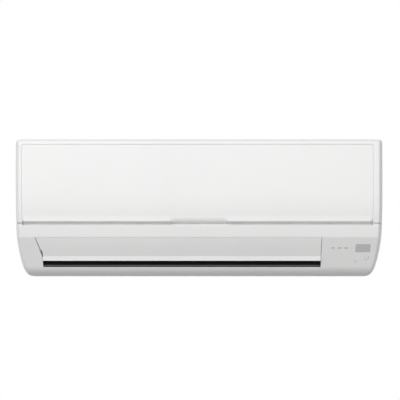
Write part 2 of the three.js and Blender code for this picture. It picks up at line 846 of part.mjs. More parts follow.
// ---- Chassis ----
function polar(angle, radius) {
  const a = (angle * Math.PI) / 180;
  return [fanDepth + radius * Math.cos(a), fanHeight + radius * Math.sin(a)];
}

function scrollRadius(angle) {
  return fanRadius + scrollStartGap + (angle - scrollStartAngle) * scrollGrowth;
}

function scrollPoints(outward) {
  const points = [];
  const steps = 7;
  for (let i = 0; i <= steps; i += 1) {
    const angle = scrollStartAngle + ((scrollEndAngle - scrollStartAngle) * i) / steps;
    points.push(polar(angle, scrollRadius(angle) + outward));
  }
  return points;
}

function scrollSection() {
  const inner = scrollPoints(0);
  const outer = scrollPoints(scrollThickness);
  inner.push([floorFrontDepth, floorFrontHeight]);
  outer.push([floorFrontDepth, floorFrontHeight - scrollThickness]);
  return [...inner, ...outer.reverse()];
}

// The chassis outline follows the body's lower corners, drawn in by a margin.
function chassisBackOutline(inset) {
  const low = inset;
  const high = bodyHeight - inset - chassisTopInset;
  const steps = 4;
  const rightSide = [];
  for (let i = 0; i <= steps; i += 1) {
    const height = low + (lowerCornerHeight - low) * (1 - Math.cos((i / steps) * (Math.PI / 2)));
    rightSide.push([halfWidthAt(height) - inset, height]);
  }
  rightSide.push([halfWidthAt(high) - inset, high]);
  const leftSide = [...rightSide].reverse().map(([x, height]) => [-x, height]);
  return [...rightSide, ...leftSide];
}

function chassisBackPlate() {
  const front = chassisBack + chassisWall;
  const outline = chassisBackOutline(chassisInset);
  const inside = chassisBackOutline(chassisInset + chassisWall);
  const plate = frontRun(outline, chassisBack, front);
  const rim = cut(frontRun(outline, shellBack, front), frontRun(inside, 0, chassisBack + 0.5));
  return plate.add(rim);
}

// The channel for the pipes: its walls, and the room that they close.
function pipeChannelWalls() {
  const end = channelHalfWidth + chassisWall;
  const front = pipeChannelDepth + chassisWall;
  return block(-end, end, chassisBack, front, channelBottom - chassisWall, pipeChannelTop + chassisWall);
}

function pipeChannelRoom() {
  const end = channelHalfWidth;
  const front = pipeChannelDepth - chassisWall;
  const opening = block(-end, end, -cutterReach, front, channelBottom, pipeChannelTop);
  const through = block(
    -end - 2 * chassisWall,
    end + 2 * chassisWall,
    chassisBack + chassisWall,
    pipeChannelDepth,
    channelBottom,
    pipeChannelTop,
  );
  return opening.add(through);
}

// A round hole through a side wall.
function wallHole(wallX, radius, depth, height, segments = 12) {
  return rodAlongX(radius, wallX - cutterReach, wallX + chassisWall + cutterReach, depth, height, segments);
}

function chassisHoles() {
  const holes = [
    wallHole(sideWallLeft, bearingRadius + fitGap, fanDepth, fanHeight),
    wallHole(sideWallRight, motorRingRadius + fitGap, fanDepth, fanHeight),
    wallHole(sideWallLeft, flapBushRadius + fitGap, flapAxisDepth, flapAxisHeight),
    wallHole(sideWallRight, flapPinRadius + 1, flapAxisDepth, flapAxisHeight),
  ];
  for (let i = 0; i < vaneCount; i += 1) {
    const low = -vanePinLength - vaneSeat - scrollThickness;
    holes.push(vaneRod(i, vanePinRadius + shaftClearance, low, scrollThickness));
  }
  return holes;
}

function hookSlots() {
  const half = hookWidth / 2 + hookSideGap;
  const low = hookHeight - hookDrop;
  const high = hookHeight + hookThickness + fitGap;
  const front = chassisBack + chassisWall + cutterReach;
  return [-hookX, hookX].map((x) => block(x - half, x + half, chassisBack - cutterReach, front, low, high));
}

function screwTowerSolid() {
  const { radius, height, front } = screwTower;
  return rodAlongDepth(radius, frameScrew.x, height, chassisBack + 1, front, 6);
}

function screwBore() {
  const { height, front, bore } = screwTower;
  const radius = screwSize.shankRadius + fitGap;
  return rodAlongDepth(radius, frameScrew.x, height, front - bore, front + cutterReach, 4);
}

function rearChassis() {
  const ends = [sideWallLeft, sideWallRight + chassisWall];
  const scroll = sectionRun(scrollSection(), ...ends);
  const trough = sectionRun(rearTroughSection(), ...ends);
  const walls = [sideWallLeft, sideWallRight].map((x) => sectionRun(sideWallSection(), x, x + chassisWall));
  const base = chassisBackPlate().add(pipeChannelWalls());
  const whole = join(base, scroll, trough, ...walls, motorCradle(), screwTowerSolid());
  return cut(whole, pipeChannelRoom(), ...hookSlots(), ...chassisHoles(), screwBore());
}

function rearTroughSection() {
  const [startDepth, startHeight] = scrollPoints(scrollThickness)[0];
  const [innerDepth, innerHeight] = scrollPoints(0)[0];
  const back = chassisBack + 1;
  return [
    [back, troughLip + 2],
    [startDepth - 22.2, troughLip - 8],
    [startDepth - 1, startHeight],
    [innerDepth, innerHeight],
    [innerDepth + 1.5, innerHeight + 14],
    [innerDepth + 5.5, troughLip],
    [innerDepth + 5.5 - troughWidth, troughLip],
    [innerDepth - troughWidth, troughLip - 12],
    [startDepth - 18.2, troughLip],
    [chassisBack + chassisWall, troughTop],
    [back, troughTop],
  ];
}

function sideWallSection() {
  const back = chassisBack + 1;
  const behind = wallThickness + 1;
  return [
    [back, pipeChannelTop + 1],
    [back, troughTop + 4],
    [22, troughTop - 2],
    [fanDepth - 36, troughLip],
    [fanDepth - 14, sideWallTop],
    [fanDepth + 14, sideWallTop],
    [sideWallFront - 17, sideWallTop - 24],
    [sideWallFront, 150],
    [sideWallFront, coilBottom + 10.5],
    [sideWallFront - 16.5, coilBottom + 10.5],
    [sideWallFront - 17.5, coilBottom + 2.5],
    [sideWallFront - 13, coilBottom - 4],
    [bodyDepth - 20, coilBottom - 20],
    behindSlant(stripBottomHeight - 12, behind),
    behindSlant(floorFrontHeight + 4, behind),
    [floorFrontDepth, floorFrontHeight - scrollThickness],
    [fanDepth + 8, 46],
    [fanDepth - 22, 58],
  ];
}

// ---- Motor, its cradle and clamp ----
function lathedAlongX(profile, x0, d, z, segments = 16) {
  const points = profile.map(([x, r]) => new THREE.Vector2(r, x));
  const geometry = new THREE.LatheGeometry(points, segments);
  const place = new THREE.Matrix4().makeBasis(upward, rightward, intoWall);
  geometry.applyMatrix4(place.setPosition(x0, -d, z - bodyHeight / 2));
  return solidOf(geometry);
}

function motorCradle() {
  const seatRadius = motorRingRadius + fitGap;
  const back = chassisBack + 1;
  const near = fanDepth - cradleHalfWidth;
  const far = fanDepth + cradleHalfWidth;
  const { low, high, base, under, front } = cradleFoot;
  const section = [
    [back, low],
    [near, cradleBottom],
    [far, cradleBottom],
    [far, fanHeight],
    [near, fanHeight],
    [back, high],
  ];
  const ends = [motorLeft - motorRingLength + 1, motorLeft + motorLength + 1];
  const plates = ends.map((x) => {
    const from = x - cutterReach;
    const to = x + cradleThickness + cutterReach;
    const seat = rodAlongX(seatRadius, from, to, fanDepth, fanHeight, 16);
    const above = block(from, to, fanDepth - seatRadius, fanDepth + seatRadius, fanHeight, bodyHeight);
    return cut(sectionRun(section, x, x + cradleThickness), seat, above);
  });
  const shelf = [
    [back, base],
    [cradleFoot.back, cradleBottom],
    [far + front, cradleBottom],
    [far + front, cradleBottom - cradleBaseThickness],
    [cradleFoot.back, cradleBottom - cradleBaseThickness],
    [back, under],
  ];
  return join(sectionRun(shelf, sideWallRight, ends[1] + cradleThickness), ...plates);
}

function fanMotor() {
  const length = motorLength;
  const seamLow = length / 2 - motorSeam.half;
  const seamHigh = length / 2 + motorSeam.half;
  const profile = [
    [-motorRingLength, 0],
    [-motorRingLength, motorNeckRadius],
    [0, motorNeckRadius],
    [0, motorRadius - motorEdge],
    [motorEdge, motorRadius],
    [seamLow, motorRadius],
    [seamLow, motorRadius + motorSeam.rise],
    [seamHigh, motorRadius + motorSeam.rise],
    [seamHigh, motorRadius],
    [length - motorEdge, motorRadius],
    [length, motorRadius - motorEdge],
    [length, motorNeckRadius],
    [length + motorRingLength, motorNeckRadius],
    [length + motorRingLength, 0],
  ];
  const body = lathedAlongX(profile, motorLeft, fanDepth, fanHeight);
  const boreStart = motorLeft - motorRingLength - cutterReach;
  const boreRadius = fanShaftRadius + shaftClearance;
  return cut(body, rodAlongX(boreRadius, boreStart, motorLeft + motorBoreLength, fanDepth, fanHeight));
}

function motorRing(x) {
  const length = motorRingLength - 2 * motorRingInset;
  const profile = [
    [0, motorNeckRadius + fitGap],
    [0, motorRingRadius],
    [length, motorRingRadius],
    [length, motorNeckRadius + fitGap],
    [0, motorNeckRadius + fitGap],
  ];
  return lathedAlongX(profile, x, fanDepth, fanHeight, 16);
}

function motorClamp() {
  const z = bodyHeight / 2;
  const inner = motorRadius + motorSeam.rise + clampClearance;
  const outer = inner + clampThickness;
  const middle = motorLeft + motorLength / 2;
  const sole = cradleBottom + fitGap - z;
  const footTop = sole + clampFoot.thickness;
  const back = -fanDepth - outer;
  const front = -fanDepth + outer;
  const arch = new THREE.Shape();
  arch.absarc(-fanDepth, fanHeight - z, outer, 0, Math.PI);
  arch.lineTo(back, footTop);
  arch.lineTo(back - clampFoot.length, footTop);
  arch.lineTo(back - clampFoot.length, sole);
  arch.lineTo(-fanDepth - inner, sole);
  arch.lineTo(-fanDepth - inner, fanHeight - z);
  arch.absarc(-fanDepth, fanHeight - z, inner, Math.PI, 0, true);
  arch.lineTo(-fanDepth + inner, sole);
  arch.lineTo(front, sole);
  return alongX(arch, middle - clampWidth / 2, middle + clampWidth / 2, 8);
}

// ---- Cross-flow fan ----
function fanBladeShape(index) {
  const angle = (index / fanBladeCount) * Math.PI * 2;
  const outer = fanRadius - fanBladeInset;
  const inner = outer - fanBladeChord;
  const half = fanBladeThickness / 2;
  const tip = new THREE.Vector2(outer, 0).rotateAround(new THREE.Vector2(), angle + fanBladeLean);
  const root = new THREE.Vector2(inner, 0).rotateAround(new THREE.Vector2(), angle);
  const along = tip.clone().sub(root).normalize();
  const across = new THREE.Vector2(-along.y, along.x);
  const middle = tip.clone().add(root).multiplyScalar(0.5).addScaledVector(across, fanBladeBow);
  const corners = [
    root.clone().addScaledVector(across, half),
    middle.clone().addScaledVector(across, half),
    tip,
    middle.clone().addScaledVector(across, -half),
  ];
  const centre = new THREE.Vector2(-fanDepth, fanHeight - bodyHeight / 2);
  return new THREE.Shape(corners.map((corner) => corner.add(centre)));
}

function crossFlowFan() {
  const span = fanRight - fanLeft - fanDiscThickness;
  const centre = [-fanDepth, fanHeight - bodyHeight / 2];
  let fan = null;
  for (let i = 0; i < fanBladeCount; i += 1) {
    const blade = alongX(fanBladeShape(i), fanLeft + 1, fanRight - 1);
    fan = fan === null ? blade : fan.add(blade);
  }
  for (let disc = 0; disc < fanDiscCount; disc += 1) {
    const x = fanLeft + (span * disc) / (fanDiscCount - 1);
    const isEnd = disc === 0 || disc === fanDiscCount - 1;
    const plate = discShape(...centre, fanRadius);
    if (!isEnd) plate.holes.push(discShape(...centre, fanRadius - fanBladeChord - 4));
    fan = fan.add(alongX(plate, x, x + fanDiscThickness, 8));
  }
  const hubStart = fanRight - fanHubLength;
  const hubEnd = fanRight + fanHubReach;
  const hub = rodAlongX(fanHubRadius, hubStart, hubEnd, fanDepth, fanHeight, 8);
  const leftBoss = rodAlongX(fanBossRadius, fanLeft, fanLeft + fanBossLength, fanDepth, fanHeight, 8);
  const shaftRoom = fanShaftRadius + shaftClearance;
  const bore = rodAlongX(shaftRoom, hubStart + fanHubWall, hubEnd + cutterReach, fanDepth, fanHeight, 6);
  const stubRoom = fanStubRadius + shaftClearance;
  const stubBore = rodAlongX(stubRoom, fanLeft - cutterReach, fanLeft + fanStubReach, fanDepth, fanHeight, 6);
  return cut(join(fan, hub, leftBoss), bore, stubBore);
}

function motorShaft() {
  const start = fanRight - fanHubLength + fanHubWall + 0.5;
  return rodAlongX(fanShaftRadius, start, motorLeft + motorBoreLength - 1, fanDepth, fanHeight, 6);
}

function fanStubShaft() {
  return rodAlongX(fanStubRadius, sideWallLeft + 0.5, fanLeft + fanStubReach - 0.5, fanDepth, fanHeight, 6);
}

function fanBearing() {
  const bore = fanStubRadius + shaftClearance;
  const profile = [
    [0, bore],
    [0, bearingRadius],
    [bearingFlange.length, bearingRadius],
    [bearingFlange.length, bearingRadius - bearingFlange.step],
    [bearingLength, bearingRadius - bearingFlange.step],
    [bearingLength, bore],
    [0, bore],
  ];
  return lathedAlongX(profile, sideWallLeft - bushInset, fanDepth, fanHeight, 12);
}

// ---- Drain pan: trough under the front slab, tongue of the fan and roof of the outlet ----
function drainPan() {
  const slab = lowerSlab.start[0];
  const back = slab - coilThickness / 2 - 5;
  const front = bodyDepth - 18.4;
  const floor = spout.height;
  const rim = coilBottom + 8;
  const section = [
    [back - 11.2, rim],
    [back - 12.2, coilBottom + 3.5],
    [back - 10, coilBottom - 1.9],
    [front, coilBottom - 17.1],
    [front, floor + 2.9],
    [front - 2.6, floor + 2.9],
    [front - 4.2, floor - 2.6],
    [slab - 12.5, floor + 0.8],
    [slab - 14.4, floor + 3.9],
    [slab - 14.4, rim],
    [back + 0.2, rim],
    [back, coilBottom],
    [back - 6, coilBottom + 1.5],
    [back - 8.6, rim],
  ];
  const left = sideWallLeft + chassisWall + fitGap;
  const right = sideWallRight - fitGap;
  const endSection = [
    [back + 0.8, rim - 0.4],
    [back + 0.8, coilBottom - 1.1],
    [front - 3.1, coilBottom - 12.1],
    [front - 0.5, coilBottom - 12.1],
    [front - 0.5, floor + 2.5],
    [front - 4.6, floor + 4.5],
    [slab - 11, floor + 4.5],
    [slab - 14.8, rim - 0.4],
  ];
  const endStarts = [left + panEndInset, right - panEndThickness - panEndInset];
  const ends = endStarts.map((x) => sectionRun(endSection, x, x + panEndThickness));
  const spouts = [panSpout(left, -1), panSpout(right, 1)];
  const reach = spout.length + 4;
  const bores = [left, right].map((x) =>
    rodAlongX(spout.boreRadius, x - reach, x + reach, spout.depth, spout.height, 6),
  );
  return cut(join(sectionRun(section, left, right), ...ends, ...spouts), ...bores);
}

// ---- Flap ----
function flapCurve(inset) {
  const top = stripBottomHeight - flapGap;
  const start = new THREE.Vector2(...behindSlant(flapBottomHeight, inset));
  const end = new THREE.Vector2(...behindSlant(top, inset));
  const outward = new THREE.Vector2(slantRun.y, -slantRun.x);
  const control = start.clone().add(end).multiplyScalar(0.5).addScaledVector(outward, flapBulge * 2);
  const points = new THREE.QuadraticBezierCurve(start, control, end).getPoints(6);
  return points.map((point) => [point.x, point.y]);
}

function flapArm(x) {
  const z = bodyHeight / 2;
  const disc = discShape(-flapAxisDepth, flapAxisHeight - z, flapArmRadius);
  const boss = alongX(disc, x, x + flapArmThickness, 6);
  const { low, high, sink, back, rise, front, drop } = flapArmWeb;
  const web = [
    [flapAxisDepth - back, flapAxisHeight + rise],
    [flapAxisDepth + front, flapAxisHeight - drop],
    behindSlant(low, sink),
    behindSlant(high, sink),
  ];
  return boss.add(sectionRun(web, x, x + flapArmThickness));
}

// The flap's outline: its left end is straight as far up as it swings in through the opening.
function flapCutter() {
  const left = -outletLeftBottom + flapEndGap;
  const points = [
    [left, lipHeight],
    [flapRight, lipHeight],
    [flapRight, stripBottomHeight],
    [-outletLeftTop + flapGap, stripBottomHeight],
    [left, flapKneeHeight],
  ];
  return frontRun(points, outletCutBack, bodyDepth + wellBeyond);
}

function flapPin(x0, x1) {
  return rodAlongX(flapPinRadius, x0, x1, flapAxisDepth, flapAxisHeight, 8);
}

function mainFlap() {
  const outer = flapCurve(0);
  const inner = flapCurve(flapThickness);
  const plate = sectionRun([...outer, ...inner.reverse()], -outletLeftTop, flapRight);
  const armLeft = -outletLeftBottom + flapArmInset;
  const armRight = flapRight - flapArmInset;
  const armMiddle = centreBracketX + centreBracketThickness + 1;
  const arms = [armLeft, armRight, armMiddle].map(flapArm);
  const pins = [
    flapPin(sideWallLeft + bushInset, armLeft + 1),
    flapPin(armRight + 1, sideWallRight + chassisWall + 0.2),
    flapPin(centreBracketX - 1, armMiddle + 1),
  ];
  return join(plate.intersect(flapCutter()), ...arms, ...pins);
}

// The bracket leans back from the flap's axis, clear of the lower edge of the flap as it swings in.
function flapCentreBracket() {
  const z = bodyHeight / 2;
  const x0 = centreBracketX;
  const x1 = x0 + centreBracketThickness;
  const footBack = floorFrontDepth - centreBracketFoot.back;
  const footFront = floorFrontDepth - centreBracketFoot.front;
  const { back, rise, low, drop } = centreBracketNeck;
  const post = [
    [footBack, floorHeightAt(footBack) + fitGap],
    [footFront, floorHeightAt(footFront) + fitGap],
    [flapAxisDepth - low, flapAxisHeight - drop],
    [flapAxisDepth - back, flapAxisHeight + rise],
  ];
  const ring = alongX(discShape(-flapAxisDepth, flapAxisHeight - z, centreBracketRadius), x0, x1, 6);
  const room = flapPinRadius + shaftClearance;
  const hole = rodAlongX(room, x0 - cutterReach, x1 + cutterReach, flapAxisDepth, flapAxisHeight, 8);
  return cut(sectionRun(post, x0, x1).add(ring), hole);
}

function flapBush() {
  const bore = flapPinRadius + shaftClearance;
  const length = chassisWall + bushInset;
  const profile = [
    [0, bore],
    [0, flapBushRadius],
    [length, flapBushRadius],
    [length, bore],
    [0, bore],
  ];
  return lathedAlongX(profile, sideWallLeft - bushInset, flapAxisDepth, flapAxisHeight, 12);
}

function flapMotor() {
  const z = bodyHeight / 2;
  const x0 = sideWallRight + chassisWall + fitGap;
  const depth = flapAxisDepth - flapMotorOffset.depth;
  const height = flapAxisHeight + flapMotorOffset.height;
  const { reach, half, thickness, corner } = flapMotorEar;
  const can = rodAlongX(flapMotorRadius, x0 + thickness - 0.4, x0 + flapMotorLength, depth, height, 8);
  const flange = boxShape(-depth - reach, -depth + reach, height - half - z, height + half - z, corner);
  const ears = alongX(flange, x0, x0 + thickness, 2);
  const boreEnds = [x0 - cutterReach, x0 + thickness / 2];
  const bore = rodAlongX(flapPinRadius + fitGap, ...boreEnds, flapAxisDepth, flapAxisHeight, 8);
  return cut(can.add(ears), bore);
}

// ---- Vanes and their link bars ----
function floorHeightAt(depth) {
  const [startDepth, startHeight] = scrollPoints(0).at(-1);
  const slope = (floorFrontHeight - startHeight) / (floorFrontDepth - startDepth);
  return startHeight + (depth - startDepth) * slope;
}

function vaneX(i) {
  return vaneFirstX + i * vanePitch;
}

const flowRadians = (vaneFlowAngle * Math.PI) / 180;
const vaneAxis = new THREE.Vector3(0, -Math.sin(flowRadians), Math.cos(flowRadians));
const vaneFlow = new THREE.Vector3(0, -Math.cos(flowRadians), -Math.sin(flowRadians));

// Local X runs with the air, local Y across the outlet, local Z up the vane's axis from the floor.
function vanePlace(x) {
  const height = floorHeightAt(vaneRootDepth);
  const place = new THREE.Matrix4().makeBasis(vaneFlow, rightward, vaneAxis);
  return place.setPosition(x, -vaneRootDepth, height - bodyHeight / 2);
}

function vaneRod(i, radius, low, high, segments = 3) {
  const geometry = extruded(discShape(0, 0, radius), high - low, segments);
  geometry.translate(0, 0, low);
  return solidOf(geometry.applyMatrix4(vanePlace(vaneX(i))));
}

function vaneOutline() {
  const shape = new THREE.Shape();
  shape.moveTo(-vaneBack, vaneSeat);
  shape.lineTo(vaneFront - 2, vaneSeat);
  shape.lineTo(vaneFront, vaneSeat + 4);
  shape.lineTo(vaneFront - 1, vaneHeight - 8);
  shape.lineTo(vaneFront - 6, vaneHeight);
  shape.lineTo(-vaneBack + 2, vaneHeight);
  return shape;
}

function vane(i) {
  const geometry = extruded(vaneOutline(), vaneThickness, 1);
  const stand = new THREE.Matrix4().makeBasis(
    new THREE.Vector3(1, 0, 0),
    new THREE.Vector3(0, 0, 1),
    new THREE.Vector3(0, -1, 0),
  );
  geometry.applyMatrix4(stand.setPosition(0, vaneThickness / 2, 0));
  const blade = solidOf(geometry.applyMatrix4(vanePlace(vaneX(i))));
  const pin = vaneRod(i, vanePinRadius, -vanePinLength, vaneSeat + 4);
  const pegGeometry = extruded(discShape(-vaneArm, 0, vanePegRadius), vanePegLength + 2, 3);
  pegGeometry.translate(0, 0, vaneHeight - 2);
  const peg = solidOf(pegGeometry.applyMatrix4(vanePlace(vaneX(i))));
  return join(blade, pin, peg);
}

// A bar that joins the tops of one group of vanes, with a slot for each peg and a tab for the fingers.
function vaneBar(groupIndex) {
  const first = groupIndex * vanesPerGroup;
  const last = first + vanesPerGroup - 1;
  const middle = (vaneX(first) + vaneX(last)) / 2;
  const half = (vaneX(last) - vaneX(first)) / 2 + vaneBarOverhang;
  const near = -vaneArm - vaneBarWidth / 2 + vaneBarEdge;
  const far = near + vaneBarWidth;
  const plan = boxShape(near, far, -half, half);
  const slotNear = -vaneArm - vaneBarSlotWidth / 2;
  const slotHalf = vaneBarSlotWidth / 2;
  for (let i = first; i <= last; i += 1) {
    const across = vaneX(i) - middle;
    plan.holes.push(boxShape(slotNear, slotNear + vaneBarSlotLength, across - slotHalf, across + slotHalf));
  }
  const tabNear = vanePitch / 2 - vaneBarTab.half;
  const tabFar = vanePitch / 2 + vaneBarTab.half;
  const tab = boxShape(far - 2, far + vaneBarTab.reach, tabNear, tabFar);
  const pieces = [plan, tab].map((shape) => {
    const geometry = extruded(shape, vaneBarThickness, 3);
    geometry.translate(0, 0, vaneHeight + vaneBarGap);
    return solidOf(geometry.applyMatrix4(vanePlace(middle)));
  });
  return join(...pieces);
}

// ---- Heat exchanger ----
function slabFrame(slab) {
  const start = new THREE.Vector2(...slab.start);
  const end = new THREE.Vector2(...slab.end);
  const along = end.clone().sub(start);
  const length = along.length();
  along.normalize();
  const across = new THREE.Vector2(along.y, -along.x);
  return { start, along, across, length };
}

function slabPoint(slab, run, side) {
  const { start, along, across } = slabFrame(slab);
  return start.clone().addScaledVector(along, run).addScaledVector(across, side);
}

function tubePoint(slab, index, row) {
  const { length } = slabFrame(slab);
  const pitch = length / slab.tubes;
  return slabPoint(slab, (index + 0.5) * pitch, (row - 0.5) * coilRowPitch);
}

function slabSection(slab, grow) {
  const { length } = slabFrame(slab);
  const half = coilThickness / 2 + grow;
  return [
    slabPoint(slab, -grow, -half),
    slabPoint(slab, length + grow, -half),
    slabPoint(slab, length + grow, half),
    slabPoint(slab, -grow, half),
  ].map((point) => [point.x, point.y]);
}

function tubeHoles(slab, x0, x1) {
  const holes = [];
  const radius = (coilTubeRadius + coilTubeClearance) / Math.cos(Math.PI / coilHoleSides);
  for (let row = 0; row < 2; row += 1) {
    for (let i = 0; i < slab.tubes; i += 1) {
      const point = tubePoint(slab, i, row);
      holes.push(rodAlongX(radius, x0 - 1, x1 + 1, point.x, point.y, coilHoleSides / 2));
    }
  }
  return holes;
}

function finBlock(slab) {
  const fins = sectionRun(slabSection(slab, 0), coilLeft, coilRight);
  return cut(fins, ...tubeHoles(slab, coilLeft, coilRight));
}

// One folded sheet at each end of the fins carries the tubes and hooks on the chassis side wall.
function endPlate(x0, wallX) {
  const x1 = x0 + coilPlateThickness;
  const slabs = [lowerSlab, upperSlab, rearSlab];
  const [lower, upper, rear] = slabs.map((slab) => slabSection(slab, coilPlateMargin));
  const elbow = [lower[1], lower[2], upper[3]];
  const crown = [upper[1], upper[2], rear[3], rear[0]];
  const outlines = [lower, upper, rear, elbow, crown];
  const sheet = join(...outlines.map((outline) => sectionRun(outline, x0, x1)));
  const lugBack = sideWallFront + fitGap;
  const lugFront = lugBack + coilPlateThickness;
  const web = block(x0, x1, lugBack, lower[0][0] + 1, coilLug.bottom, coilLug.top);
  const lug = block(Math.min(x0, wallX), Math.max(x1, wallX), lugBack, lugFront, coilLug.bottom, coilLug.top);
  const holes = slabs.flatMap((slab) => tubeHoles(slab, x0, x1));
  return cut(join(sheet, web, lug), ...holes);
}

function coilOrder() {
  const slabs = [lowerSlab, upperSlab, rearSlab];
  const order = [];
  slabs.forEach((slab) => {
    for (let i = 0; i < slab.tubes; i += 1) order.push(tubePoint(slab, i, 1));
  });
  [...slabs].reverse().forEach((slab) => {
    for (let i = slab.tubes - 1; i >= 0; i -= 1) order.push(tubePoint(slab, i, 0));
  });
  return order;
}

// A path through chosen stations: its sections stand on the stations themselves.
class StationPath extends THREE.Curve {
  constructor(stations) {
    super();
    this.stations = stations;
  }

  getPoint(t, target = new THREE.Vector3()) {
    const last = this.stations.length - 1;
    const place = Math.min(last, Math.max(0, t * last));
    const index = Math.min(last - 1, Math.floor(place));
    return target.lerpVectors(this.stations[index], this.stations[index + 1], place - index);
  }

  getUtoTmapping(u) {
    return u;
  }

  getTangent(t, target = new THREE.Vector3()) {
    const last = this.stations.length - 1;
    const index = Math.round(t * last);
    const before = new THREE.Vector3();
    const after = new THREE.Vector3();
    if (index > 0) before.subVectors(this.stations[index], this.stations[index - 1]).normalize();
    if (index < last) after.subVectors(this.stations[index + 1], this.stations[index]).normalize();
    return target.addVectors(before, after).normalize();
  }
}

function polygonShape(radius, sides) {
  const points = [];
  for (let i = 0; i < sides; i += 1) {
    const angle = ((i + 0.5) / sides) * Math.PI * 2;
    points.push(new THREE.Vector2(radius * Math.cos(angle), radius * Math.sin(angle)));
  }
  return new THREE.Shape(points);
}

function tubeThrough(stations, radius, sides) {
  const extrudePath = new StationPath(stations);
  const options = { steps: stations.length - 1, extrudePath, curveSegments: 1 };
  return solidOf(new THREE.ExtrudeGeometry(polygonShape(radius, sides), options));
}

function sectionPoint(x, point) {
  return new THREE.Vector3(x, -point.x, point.y - bodyHeight / 2);
}

function bendStations(from, to, x, side) {
  const stations = [];
  const middle = from.clone().add(to).multiplyScalar(0.5);
  const half = from.clone().sub(middle);
  for (let i = 1; i < coilBendSteps; i += 1) {
    const angle = (i / coilBendSteps) * Math.PI;
    const point = middle.clone().addScaledVector(half, Math.cos(angle));
    stations.push(sectionPoint(x + side * coilTubeOverhang * Math.sin(angle), point));
  }
  return stations;
}

function coilTubes() {
  const order = coilOrder();
  const stations = [sectionPoint(coilTailEnd, order[0])];
  order.forEach((point, i) => {
    const toLeft = i % 2 === 0;
    stations.push(sectionPoint(toLeft ? coilEndRight : coilEndLeft, point));
    stations.push(sectionPoint(toLeft ? coilEndLeft : coilEndRight, point));
    const next = order[i + 1];
    const endX = toLeft ? coilEndLeft : coilEndRight;
    if (next) stations.push(...bendStations(point, next, endX, toLeft ? -1 : 1));
  });
  stations.push(sectionPoint(coilTailEnd, order.at(-1)));
  return tubeThrough(stations, coilTubeRadius, coilTubeSides);
}

// ---- Pipes, in the channel behind the unit ----
// A route with a round bend at each corner.
function roundedRoute(corners, bendRadius, bendSteps = 3) {
  const stations = [corners[0]];
  for (let i = 1; i < corners.length - 1; i += 1) {
    const corner = corners[i];
    const toBefore = corners[i - 1].clone().sub(corner);
    const toAfter = corners[i + 1].clone().sub(corner);
    const reach = Math.min(bendRadius, toBefore.length() * 0.45, toAfter.length() * 0.45);
    const start = corner.clone().addScaledVector(toBefore.normalize(), reach);
    const end = corner.clone().addScaledVector(toAfter.normalize(), reach);
    stations.push(...new THREE.QuadraticBezierCurve3(start, corner, end).getPoints(bendSteps));
  }
  stations.push(corners.at(-1));
  return stations;
}

function routePoint(x, depth, height) {
  return new THREE.Vector3(x, -depth, height - bodyHeight / 2);
}

function connectingPipe(pipe, tail) {
  const corners = [
    routePoint(coilTailEnd + fitGap, tail.x, tail.y),
    routePoint(coilTailEnd + pipeRun.straight, tail.x, tail.y),
    routePoint(coilTailEnd + pipeRun.drop, tail.x, pipe.level),
    routePoint(pipe.x, tail.x, pipe.level),
    routePoint(pipe.x, pipeDepth, pipe.level),
    routePoint(pipe.x, pipeDepth, pipe.height),
    routePoint(pipeEndX, pipeDepth, pipe.height),
  ];
  return tubeThrough(roundedRoute(corners, pipeBend), pipe.radius, 6);
}

function flareNut(pipe) {
  const z = bodyHeight / 2;
  const centre = new THREE.Vector2(-pipeDepth, pipe.height - z);
  const corners = [];
  for (let i = 0; i < 6; i += 1) {
    const corner = new THREE.Vector2(pipe.nutRadius, 0).rotateAround(new THREE.Vector2(), (i * Math.PI) / 3);
    corners.push(corner.add(centre));
  }
  const start = pipeEndX - pipe.nutLength / 2;
  const end = start + pipe.nutLength;
  const body = alongX(new THREE.Shape(corners), start, end);
  const neckRadius = pipe.nutRadius * nutNeck.share;
  const neck = rodAlongX(neckRadius, start - nutNeck.length, start + 1, pipeDepth, pipe.height, 6);
  const room = pipe.radius + nutClearance;
  return cut(body.add(neck), rodAlongX(room, pipeEndX - 1, end + cutterReach, pipeDepth, pipe.height, 4));
}

function pipeClamp() {
  const x0 = pipeClampX;
  const x1 = x0 + pipeClampWidth;
  const front = pipeChannelDepth - chassisWall - fitGap;
  const low = liquidPipe.height - pipeClampEdge.low;
  const high = gasPipe.height + pipeClampEdge.high;
  const saddle = block(x0, x1, pipeDepth - pipeClampEdge.back, front, low, high);
  const bores = [gasPipe, liquidPipe].map((pipe) =>
    rodAlongX(pipe.radius + nutClearance, x0 - cutterReach, x1 + cutterReach, pipeDepth, pipe.height, 4),
  );
  return cut(saddle, ...bores);
}

// ---- Drain ----
function panSpout(endX, side) {
  const root = endX - side * 1.5;
  const tip = endX + side * spout.length;
  const near = Math.min(root, tip);
  const far = Math.max(root, tip);
  return rodAlongX(spout.outerRadius, near, far, spout.depth, spout.height, 6);
}

function drainPlug() {
  const { headRim, headLength, stemLength } = drainPlugSize;
  const endX = sideWallLeft + chassisWall + fitGap - spout.length;
  const stemRadius = spout.boreRadius - fitGap;
  const stem = rodAlongX(stemRadius, endX - 1, endX + stemLength, spout.depth, spout.height, 6);
  const headRadius = spout.outerRadius + headRim;
  const head = rodAlongX(headRadius, endX - headLength, endX - fitGap, spout.depth, spout.height, 6);
  return stem.add(head);
}

// ---- Air filters ----
function filterPath() {
  const path = new THREE.Path();
  const { low, high, depth } = filterTurn;
  const crown = filterCrown;
  path.moveTo(filterFront, filterBottom);
  path.lineTo(filterFront, bodyHeight - low);
  path.quadraticCurveTo(filterFront, bodyHeight - (low + high) / 2, bodyDepth - depth, bodyHeight - high);
  path.lineTo(bodyDepth - crown.front, bodyHeight - crown.low);
  const middle = bodyDepth - (crown.front + crown.back) / 2 + 1;
  const crownTop = bodyHeight - crown.high;
  path.quadraticCurveTo(middle, crownTop - 0.5, bodyDepth - crown.back, crownTop);
  path.lineTo(filterEnd.depth, bodyHeight - filterEnd.drop);
  return path.getPoints(2);
}

